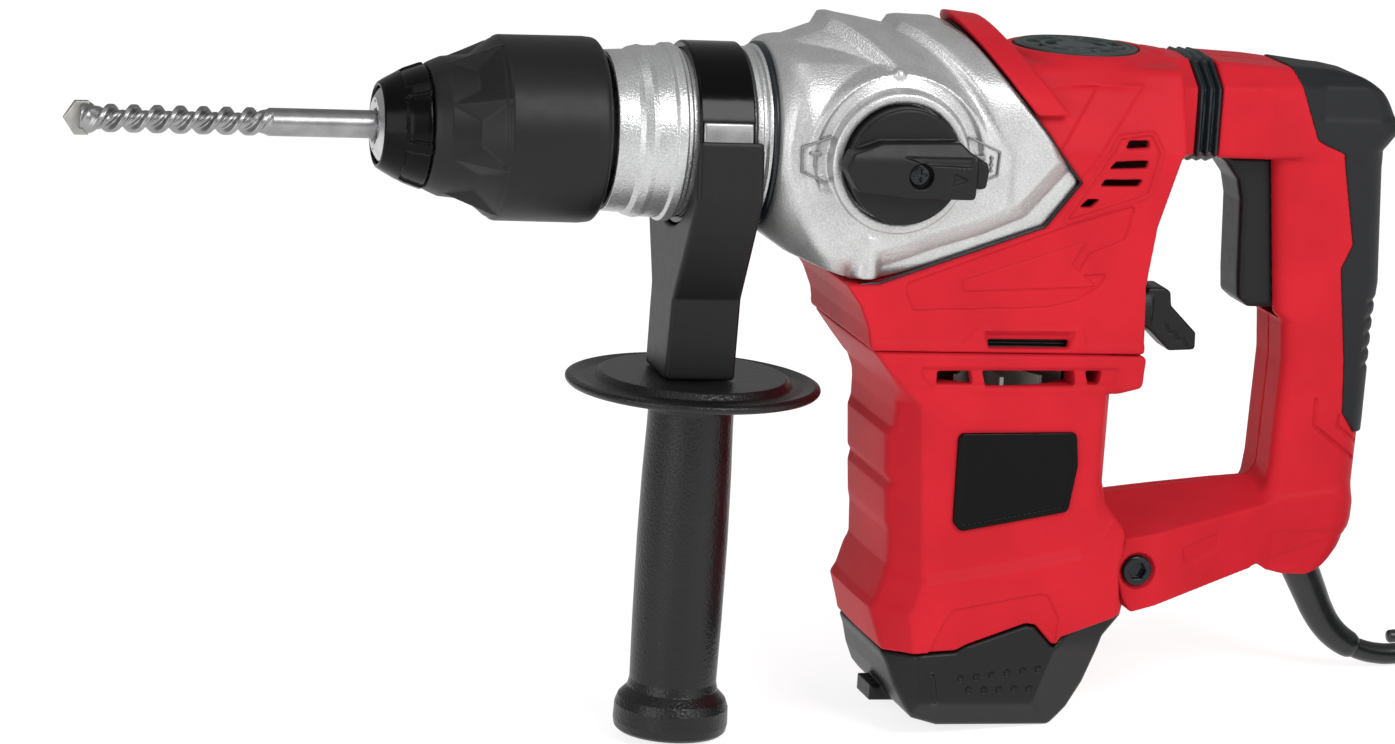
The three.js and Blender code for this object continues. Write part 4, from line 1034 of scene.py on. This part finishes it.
def add_grease_cap():
    """The round cap in the dome, with two rings of slots."""
    block = Block((2, -27, 31), (56, 27, 38), 0.35)
    x, y, z = block.x - GREASE_X, block.y, block.z
    r = np.hypot(x, y)
    angle = np.degrees(np.arctan2(y, x))
    field = common(r - GREASE_R, slab(z, GREASE_TOP - 2.3, GREASE_TOP), 0.6)
    outer = window(r, 13.7, 17.6, 0.4) * window((angle + 5) % 36, 3, 29, 1.6)
    inner = window(r, 7.8, 11.0, 0.4) * window((angle + 20) % 120, 8, 92, 4)
    field = field + 2.6 * np.maximum(outer, inner) * (z > 34.0)
    field = field + 0.5 * ridge(np.abs(r - 20.4), 0.2, 0.5) * (z > 35)
    sculpt("grease_cap_disc", block, field, CAP_GREY, "housing", ["grease_cap"], "black_plastic",
        keep=0.35)


def add_motor_housing():
    """The red motor shell: brow with its vents, waist, wider base and handle lug."""
    block = Block((-60, -45, -187), (70, 45, -69), 0.6)
    x, y, z, side = block
    shape = [(-60, -71.4), (51.8, -71.4), (51, -83.4), (42, -86.4), (42, -119), (42.4, -127),
        (48, -134.6), (50, -138.7), (49, -144.6), (47.6, -151), (49.4, -162.3), (53.2, -167),
        (27.4, -176.4), (25.3, -180), (22, -176.6), (17.7, -172), (14, -171.4), (-8, -179.4),
        (-12, -181.6), (-21, -182.2), (-30, -183), (-60, -188.5)]
    upper = slab(z, -86, -60)
    wide = side - BROW_HALF
    chamfer = 0.8 * wide - 0.6 * (z + 82.6)
    top = common(wide, chamfer, 1.2)
    wall = side - MOTOR_HALF
    corner_x = level(z, [(v, u) for u, v in CORNER])
    corner = 0.59 * (side - 39.8) - 0.81 * (x - corner_x)
    rear = 0.55 * (side - 39.8) + 0.83 * (x - 37)
    waist = common(common(wall, corner, 1.2), rear, 2.4)
    bulge = outline([(-60, -180), (-60, -152.4), (-22.4, -151.8), (4, -147.7), (31.3, -142.1),
        (41.9, -135.7), (46, -129), (90, -129), (90, -200), (-60, -200)], x, z)
    grow = 2.6 * window(bulge, -99, -6.0, 6.0)
    base = side - (MOTOR_HALF + grow)
    base_corner = 0.59 * (side - 39.8 - grow) - 0.81 * (x - corner_x)
    lower = common(base, base_corner, 1.4)
    lower = common(lower, 0.42 * (side - 36) + 0.91 * (x - 52), 3)
    blend = np.clip((-120 - z) / 16, 0, 1)
    body = waist * (1 - blend) + lower * blend
    step_line = outline([(-22.9, -183), (-17.7, -170.4), (-14.4, -166), (18, -159.9),
        (21.4, -160.6), (26, -169), (25.4, -182), (0, -190)], x, z)
    body = body + 1.1 * window(step_line, -99, -0.5, 0.8)
    front = front_face(block, 0.5)
    envelope = common(outline(rounded(shape, 2.0), x, z), front, 1.0)
    body = common(body, envelope, 1.4)
    brow = common(common(top, corner, 1.0), envelope, 1.2)
    body = join(body, common(brow, upper, 0.6), 1.2)
    lug = join(common(np.hypot(x - PIVOT_X, z - PIVOT_Z) - 9, side - 11, 0.8), common(slab(x, 40,
        PIVOT_X), common(slab(z, -161, -146), side - 11), 0.5))
    body = join(body, lug, 0.8)

    tray = outline(rounded([(-34.2, -75.9), (42.4, -75.4), (40.6, -82.4), (37.4, -84.4),
        (-28.4, -85.2), (-33.4, -79.8)], 1.4), x, z)
    body = body + 1.6 * np.clip(-tray / 1.6, 0, 1) * (side > 30)
    body = cut(body, common(np.hypot(x, y) - STATOR_ROOM_R, front + 1.2))
    body = cut(body, np.hypot(x - PIVOT_X, z - PIVOT_Z) - 5.4)
    for vent in ([(-27, -77.9), (-14.2, -77.7), (-13, -82.8), (-26.6, -82.9)], [(-10, -77.6),
            (25, -77.3), (25.6, -82.9), (-8.1, -83.4)], [(29, -77.2), (35.4, -77.2), (34.6, -82.4),
            (30.6, -82.4)]):
        body = cut(body, common(outline(rounded(vent, 0.7), x, z), -(side - 24)), 0.5)
    sculpt("motor_housing_shell", block, body, RED, "housing", ["motor_housing"], "red_plastic")


def add_label():
    """A plain black plate: it carries no lettering."""
    block = Block((-20, -45, -140), (31, -38, -96), 0.35)
    x, y, z, _ = block
    shape = rounded([(-17.2, -100.6), (27.6, -99.8), (29.0, -112), (26.6, -129.4), (-13.8, -137),
        (-16.8, -133.6)], 2.6, steps=5)
    edge = outline(shape, x, z)
    field = common(edge, slab(y, -41.2, -39.2), 0.7)
    field = field + 0.25 * window(edge, -99, -2.4, 0.5) * (y < -40.6)
    sculpt("blank_label", block, field, GLOSS, "housing", ["label_plate"], "gloss_black")


def add_motor_cap():
    """The black end cap, with dimples in two rows and a small front foot."""
    block = Block((-52, -45, -213), (60, 45, -165), 0.55)
    x, y, z, side = block
    shape = [(-36.9, -184.9), (-30, -183.7), (-21, -182.8), (-12, -182.2), (-8.4, -180),
        (14, -172.1), (17.4, -172.6), (25.3, -180.7), (28.4, -176.8), (52.4, -167), (58, -168.6),
        (57, -173.4), (49, -180), (42, -197), (36, -206), (29, CAP_FLAT_Z + 0.4), (28, CAP_FLAT_Z),
        (-14.6, CAP_FLAT_Z), (-25, -208.6), (-28, -205), (-32, -197.4), (-34.5, -189.6)]
    wall = side - CAP_HALF
    facet = 0.80 * (side - 39.5) - 0.60 * (z + 203.2)
    front = 0.59 * (side - 39.8) - 0.81 * (x + 28 + 0.1 * (z + 184))
    rear = outline([(25.7, -165), (25.7, -180), (23.1, -187.8), (17.8, -203.0), (-14, -203.3),
        (-60, -203.3), (-60, -165)], x, z)
    wall = wall + 0.62 * np.clip(rear, 0, 60) * window(x, -10, 99, 14)
    body = common(common(wall, facet, 1.0), front, 2.0)
    body = common(body, outline(rounded(shape, 1.2), x, z), 1.6)
    rib = to_line([(-20.6, -191), (-18.6, -201)], x, z)
    body = body - 1.1 * ridge(rib, 0.5, 0.9) * (side > 30)
    rows = [(-9.3 + 5.85 * k, -192.0 + 0.72 * k) for k in range(6)]
    rows += [(-5.9 + 5.75 * k, -196.2 + 0.08 * k) for k in range(5)]
    for cx, cz in rows:
        body = body + 0.9 * window(np.hypot(x - cx, z - cz), -9, 0.9, 0.5) * (side > 30)
    foot = common(common(slab(x, -33.4, -24), slab(z, -209.4, -203.4)), side - 9, 1.5)
    body = join(body, foot, 1.0)
    body = cut(body, common(np.hypot(x, y) - 33 - 0.6 * np.minimum(z + 184, 0), -(z + 196)))
    for cx in (-24, 26):
        body = cut(body, common(np.hypot(x - cx, y) - 3.7, z + 207), 0.4)
    sculpt("motor_cap_shell", block, body, BLACK, "housing", ["motor_end_cap"], "black_plastic")


# ---- controls --------------------------------------------------------------------------------


def add_knob():
    """The mode dial with its slanted bar and cross-head screw."""
    block = Block((-74, -58, -25), (-16, -37.5, 20), 0.4)
    x, y, z, _ = block
    r = knob_distance(x, z)
    disc = common(r - KNOB_R, slab(y, -49.6, -38.8), 1.4)
    blade = rounded([(-71, -2.6), (-68.6, 3.2), (-64.6, 4.4), (-58, 6.8), (-29, 7.6), (-25.6, 4.4),
        (-19.4, 0.8), (-18.7, -2.2), (-19.4, -8.2), (-22.6, -8.8), (-23.2, -12.6), (-47.8, -12.4),
        (-66.6, -10.2)], 1.5)
    bar = common(outline(blade, x, z), slab(y, -56.8, -46), 1.0)
    bar = common(bar, 0.92 * (-y - 56.2) + 0.39 * (z - 2.6), 0.8)
    field = join(disc, bar, 0.6)
    ledge = outline([(-49.6, 2.2), (-41.7, -0.2), (-25.4, -0.6), (-24.8, 2.2)], x, z)
    field = field + 0.8 * window(ledge, -99, -0.2, 0.6) * (y < -52)
    end = to_line([(-22.6, 1.6), (-22.6, -9.4)], x, z)
    field = field + 0.6 * ridge(end, 0.2, 0.5) * (y < -50)
    arrow = outline([(-31.5, -3.2), (-26.4, -5.3), (-31.5, -7.4)], x, z)
    field = field + 0.8 * window(arrow, -9, -0.1, 0.4) * (y < -52)
    sink = common(np.hypot(x - SCREW_X, z - SCREW_Z) - 4.5, y + 53.4)
    field = cut(field, sink, 0.5)
    sculpt("selector_dial", block, field, BLACK, "selector_knob", ["selector_knob"],
        "black_plastic", keep=0.35)

    block = Block((-49, -57, -10), (-38, -51, 1.5), 0.2)
    x, y, z = block.x - SCREW_X, block.y, block.z - SCREW_Z
    r = np.hypot(x, z)
    head = common(r - 3.9, slab(y, -54.6, -53.2) + 0.02 * r * r, 0.5)
    slots = np.minimum(common(np.abs(x) - 0.5, np.abs(z) - 2.5), common(np.abs(z) - 0.5,
        np.abs(x) - 2.5))
    head = cut(head, common(slots, y + 53.6), 0.2)
    sculpt("dial_screw", block, head, SOCKET_BLACK, "selector_knob", ["knob_screw"], "bright_steel",
        keep=0.4)


def add_rear_lever():
    """The lever that stops the rotation, on a short shaft."""
    block = Block((46, -12, -80), (88, 12, -49), 0.4)
    x, y, z, side = block
    hub = common(np.hypot(y, z - LEVER_Z) - 6.4, slab(x, 48, 66), 0.6)
    collar = common(np.hypot(y, z - LEVER_Z) - 9, slab(x, 53.9, 64.6), 1.0)
    blade = rounded([(62, -52.6), (69, -52.6), (71.5, -54.2), (72.2, -59.4), (82.6, -69.4),
        (82.9, -75.9), (72.6, -76.4), (62.4, -67)], 1.6)
    paddle = common(outline(blade, x, z), side - 7.2, 1.4)
    field = join(join(hub, collar, 0.5), paddle, 1.2)
    for k in range(3):
        mark = to_line([(70.5 + 3.6 * k, -66.5 - 2.6 * k), (72.3 + 3.6 * k, -69.4 - 2.6 * k)], x, z)
        field = field + 0.5 * ridge(mark, 0.2, 0.5) * (side > 5)
    sculpt("stop_lever", block, field, BLACK, "rotation_lever", ["rotation_lever"], "black_plastic",
        keep=0.35)


def add_trigger():
    """The trigger, rounded in front, with a slot for its pin."""
    block = Block((82, -13, -61), (123, 13, 0), 0.45)
    x, y, z, side = block
    shape = rounded([(83.4, -1.9), (110, -1.9), (119, -1.9), (120, -14), (118.6, -58.8),
        (100.8, -58.8), (96.4, -55.4), (95.6, -47), (94.2, -19), (92.4, -11.4), (87.4, -5)], 2.5)
    field = common(outline(shape, x, z), side - 10.9, 3.2)
    field = cut(field, common(np.hypot(x - 116, z + 7) - 2.4, -(side - 7)))
    sculpt("trigger_blade", block, field, BLACK, "trigger", ["trigger"], "black_plastic", keep=0.35)


# ---- rear handle -----------------------------------------------------------------------------


REAR = [(40, 139.6), (27.4, 144.2), (25, 145.4), (9.2, 152.8), (5, 149.6), (1.4, 146.8),
    (-4, 147.6), (-48, 150.4), (-61, 149.6), (-100, 149.2), (-127, 148.6), (-138, 148.2),
    (-146, 146.4), (-153, 143.8), (-158.7, 139.6)]
GRIP_FRONT = [(10, 103), (-6, 104), (-59.5, 109.6), (-63.5, 113.2), (-78, 114.4), (-118, 113.4),
    (-130, 112)]


def handle_field(block, proud=0.0):
    """Upper arm, grip and lower arm; the overmould stands proud of the back."""
    x, y, z, side = block
    back = 0.97 * (x - level(z, REAR) - proud)
    arm = rounded([(ARM_FRONT_X, -0.8), (96, -1), (117, -1.6), (136, -3), (170, -12), (170, 20),
        (144.6, 26.4), (127, 30), (103, 32.2), (ARM_FRONT_X, 33.6)], 1.6)
    arm_section = rounded([(0, 36), (14, 35), (18, 32.4), (26.5, 25), (26.5, 2), (22, -6), (0, -12),
        (-22, -6), (-26.5, 2), (-26.5, 25), (-18, 32.4), (-14, 35)], 1.5)
    half = level(x, [(ARM_FRONT_X, ARM_HALF), (98, 26.3), (121, 17.6), (160, 17.2)]) + 0.4 * proud
    upper = common(outline(arm, x, z) - 0.5 * proud,
                   outline(arm_section, side + ARM_HALF - half, z), 1.6)
    upper = fillet(common(upper, side - half, 1.6), back, 10)

    face = 0.97 * (level(z, GRIP_FRONT) - x)
    grip = fillet(fillet(side - GRIP_HALF - 0.4 * proud, back, 11), face, 5)
    grip = common(grip, slab(z, -140, 12))

    line = rounded([(50.4, -147.6), (52, -143), (51.4, -138.6), (46.6, -129), (46, -100),
        (170, -100), (170, -150), (142, -154), (138, -157.4), (131, -159.4), (121, -159.2),
        (114.4, -157.6), (110, -154.9), (56.4, -169.4), (52.6, -163.3), (50, -155)], 2)
    half = level(x, [(44, 33.4), (66, 33.2), (100, 22.4), (116, 17.6), (151, 17.2)])
    crease = level(x, [(46, -142.4), (51.7, -141.7), (74, -137.7), (94.6, -134.6), (107.7, -132.4),
        (115.2, -130.8), (134.2, -128.5), (150, -126.8)])
    rise = level(x, [(46, 10.9), (74, 9.4), (94.6, 8.7), (110, 7.6), (150, 5)])
    top = crease + rise * np.clip((half - side) / (0.9 * half), 0, 1)
    lower = common(outline(line, x, z), 0.85 * (z - top), 0.8)
    lower = fillet(common(lower, side - half, 0.9), back, 9)
    lower = lower + 0.5 * window(outline([(40, -200), (108, -154.6), (134, -145.8), (160, -141),
        (160, -200)], x, z), -99, -0.5, 0.8) * (x > 107)
    field = join(join(upper, grip, 3), lower, 4)
    for groove in ([(128.5, -92), (128.6, -102.2), (146, -114.8)],
                   [(137.9, -98), (137.8, -102.1), (149, -110.2)]):
        field = field + 1.0 * ridge(to_line(groove, x, z), 0.35, 0.5) * (side > 10)
    plate = rounded([(75.8, -145.7), (90.9, -141.3), (92.3, -147.1), (77.3, -151.9)], 0.8)
    plate = outline(plate, x, z)
    field = field + 0.9 * window(plate, -99, -0.3, 0.5)
    boss = np.hypot(x - PIVOT_X, z - PIVOT_Z)
    return field + 1.8 * window(boss, -9, 6.4, 0.6) * (side > 28)


def add_handle():
    """Two red shells split down the middle, and the rubber over their back."""
    block = Block((44, -36, -172), (155, 36, 39), 0.6)
    x, y, z, side = block
    field = handle_field(block)
    switch = common(slab(x, 111.5, 145), common(slab(z, -62, -1.2), side - SWITCH_HALF))
    opening = common(slab(x, 90, 125), common(slab(z, -62, -1.2), side - 11.7))
    from_pivot = np.hypot(x - PIVOT_X, z - PIVOT_Z)
    fork = join(from_pivot - 10.4, common(slab(x, 40, PIVOT_X + 2), slab(z, -164.4, -142.6)))
    fork = common(fork, side - FORK_HALF)
    pin = from_pivot - 5.3
    lean = math.radians(CORD_LEAN)
    dx, dz = x - CORD_EXIT_X, z - CORD_EXIT_Z
    along = dx * math.cos(lean) - dz * math.sin(lean)
    off = np.hypot(dx * math.sin(lean) + dz * math.cos(lean), y)
    hole = common(off - 7.5, np.abs(along) - 8)
    solid = field
    for tool in (switch, opening, fork, pin, hole):
        solid = cut(solid, tool, 0.4)
    rubber_edge = [(107, 60), (107, 33), (109, 28.5), (110.6, 25), (113.7, 18), (119.3, 5.4),
        (123, 3.6), (130.4, 0.6), (131.8, -6.9), (137, -33.4), (133.2, -42.4), (137.7, -77.1),
        (139, -97), (145, -104.5), (170, -106), (170, 60)]
    zone = outline(rounded(rubber_edge, 1.2), x, z)
    red = cut(solid, zone + 0.25)
    for name, node, half_space in (("handle_shell_near", "handle_near", y + 0.12),
                                   ("handle_shell_far", "handle_far", 0.12 - y)):
        sculpt(name, block, common(red, half_space), RED, "rear_handle", [node], "red_plastic")

    # The rubber overmould stands a little proud, over the arm's end and down the back of the grip.
    block = Block((92, -30, -110), (158, 30, 38), 0.55)
    x, y, z, side = block
    zone = outline(rounded(rubber_edge, 1.2), x, z)
    notches = sum(np.exp(-(((z - at) / 1.1) ** 2)) for at in (-55, -61, -67, -73, -79))
    skin = handle_field(block, 1.3) + 0.8 * notches * window(x, 147, 200, 3)
    core = common(handle_field(block) + 3.4, common(slab(z, -100, 30), slab(x, 90, 150)))
    switch = common(slab(x, 90, 145), common(slab(z, -62, -1.2), side - SWITCH_HALF))
    field = cut(cut(common(skin, zone, 0.6), core), switch)
    sculpt("handle_overmould", block, field, RUBBER, "rear_handle", ["handle_rubber"],
        "soft_rubber")


def add_pivot_bolt():
    """Socket-head bolt that the handle swings on."""
    block = Block((PIVOT_X - 9, -37, PIVOT_Z - 9), (PIVOT_X + 9, -27, PIVOT_Z + 9), 0.25)
    x, y, z = block.x - PIVOT_X, block.y, block.z - PIVOT_Z
    r = np.hypot(x, z)
    head = common(r - 5.7, slab(y, -33.4, -28), 1.2)
    hexagon = np.maximum(np.abs(z), 0.866 * np.abs(x) + 0.5 * np.abs(z)) - 2.9
    head = cut(head, common(np.broadcast_to(hexagon, r.shape), y + 30.4), 0.6)
    sculpt("pivot_bolt_head", block, head, SOCKET_BLACK, "rear_handle", ["pivot_bolt"],
        "dark_steel", keep=0.4)
    shank = rounded([(-29, 0.01), (-29, 4.9), (33.6, 4.9), (33.6, 7.6), (34.6, 7.6), (34.6, 0.01)],
        0.4)
    lathe("pivot_bolt_shank", shank, "y", (PIVOT_X, 0, PIVOT_Z), DARK_STEEL, "rear_handle",
        slot="dark_steel", sides=48)


def add_bellows():
    """Ribbed rubber sleeve between the housing and the handle's arm."""
    front, rear, folds = NECK_X - 0.6, ARM_FRONT_X + 0.4, 3
    block = Block((front - 1, -31, -8), (rear + 1, 31, 41), 0.45)
    x, y, z, _ = block
    wave = 1.1 * np.cos(2 * math.pi * folds * (x - front) / (rear - front))
    body = outline(rounded(NECK, 2), y, z)
    field = common(body + 0.6 + wave, slab(x, front, rear), 0.5)
    field = cut(field, body + 5)
    piece = sculpt("handle_bellows", block, field, BELLOWS, None, ["bellows"], "soft_rubber",
        keep=0.35)
    start = TOOL @ Vector((front + 1, 0, 16))
    end = TOOL @ Vector((rear - 1, 0, 16))
    tuple(start)
    tuple(end)
    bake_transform(piece)


# ---- carried-over CAD nodes ------------------------------------------------------------------

NODE_FINISH = {STEEL: ["tool_holder", "locking_ball_near", "locking_ball_far", "cylinder",
    "piston_pin", "connecting_rod", "armature_shaft", "upper_bearing", "lower_bearing",
    "spindle_bearing", "cap_screw_front", "cap_screw_rear", "clamp_bolt"],
    DARK_STEEL: ["sleeve_spring", "impact_bolt", "striker", "crown_gear", "crank_gear",
    "intermediate_gear", "bevel_pinion", "armature_core", "stator"], CASTING: ["piston"],
    COPPER: ["commutator"], BRASS: ["brush_holder_near", "brush_holder_far"],
    CARBON: ["carbon_brush_near", "carbon_brush_far"], FAN_GREY: ["motor_fan"],
    BLACK: ["switch_body"]}


def finish_nodes():
    for material, names in NODE_FINISH.items():
        for name in names:
            mesh = frame["nodes"][name].data
            mesh.materials.clear()
            mesh.materials.append(material)


# ---- studio ----------------------------------------------------------------------------------


def add_floor():
    """A flat white paper floor that glows a little, as in a light box."""
    size = 4.0
    mesh = bpy.data.meshes.new("floor")
    mesh.from_pydata([(-size, -size, 0), (size, -size, 0), (size, size, 0), (-size, size, 0)], [],
        [(0, 1, 2, 3)])
    floor = bpy.data.objects.new("floor", mesh)
    bpy.context.scene.collection.objects.link(floor)
    paper = Nodes("floor_paper", 1.0, Specular_IOR_Level=0.0, Emission_Color=(1, 1, 1, 1),
        Emission_Strength=0.8)
    fibre = paper.noise(0.02)
    paper.link(paper.ramp(fibre, [(0.3, (0.44, 0.44, 0.44)), (0.7, (0.46, 0.46, 0.46))], rgb=True),
        "Base Color")
    floor.data.materials.append(paper.material)
    floor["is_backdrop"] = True


def add_light(name, place_, aim, size, power):
    data = bpy.data.lights.new(name, "AREA")
    data.shape, data.size, data.energy = "SQUARE", size, power
    light = bpy.data.objects.new(name, data)
    bpy.context.scene.collection.objects.link(light)
    at = TOOL @ Vector(place_)
    light.location = at
    light.rotation_euler = (TOOL @ Vector(aim) - at).to_track_quat("-Z", "Y").to_euler()


def add_studio():
    middle = (-60, 0, -60)
    add_light("key", (350, -1300, 1000), middle, 0.7, 15)
    add_light("left_fill", (-1300, -900, 250), middle, 1.0, 8)
    add_light("right_fill", (900, -1300, 300), middle, 1.1, 4)
    add_light("top", (-500, -300, 1500), middle, 0.8, 2.5)
    world = bpy.data.worlds.new("studio")
    world.use_nodes = True
    world.node_tree.nodes["Background"].inputs["Color"].default_value = (1, 1, 1, 1)
    world.node_tree.nodes["Background"].inputs["Strength"].default_value = 0.38
    bpy.context.scene.world = world
    bpy.context.scene.view_settings.view_transform = "Standard"


# ---- build -----------------------------------------------------------------------------------

add_camera()
add_lead()
add_nose()
add_sleeve()
add_collar()
add_bit()
add_side_handle()
add_gearbox()
add_pictograms()
add_gasket()
add_cover()
add_slot_shade_sheet()
add_grease_cap()
add_motor_housing()
add_label()
add_motor_cap()
add_knob()
add_rear_lever()
add_trigger()
add_handle()
add_pivot_bolt()
add_bellows()
finish_nodes()
add_floor()
add_studio()

corners = {"cad": [list(c) for c in CAD_BOX], "visual": [list(c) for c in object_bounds()]}
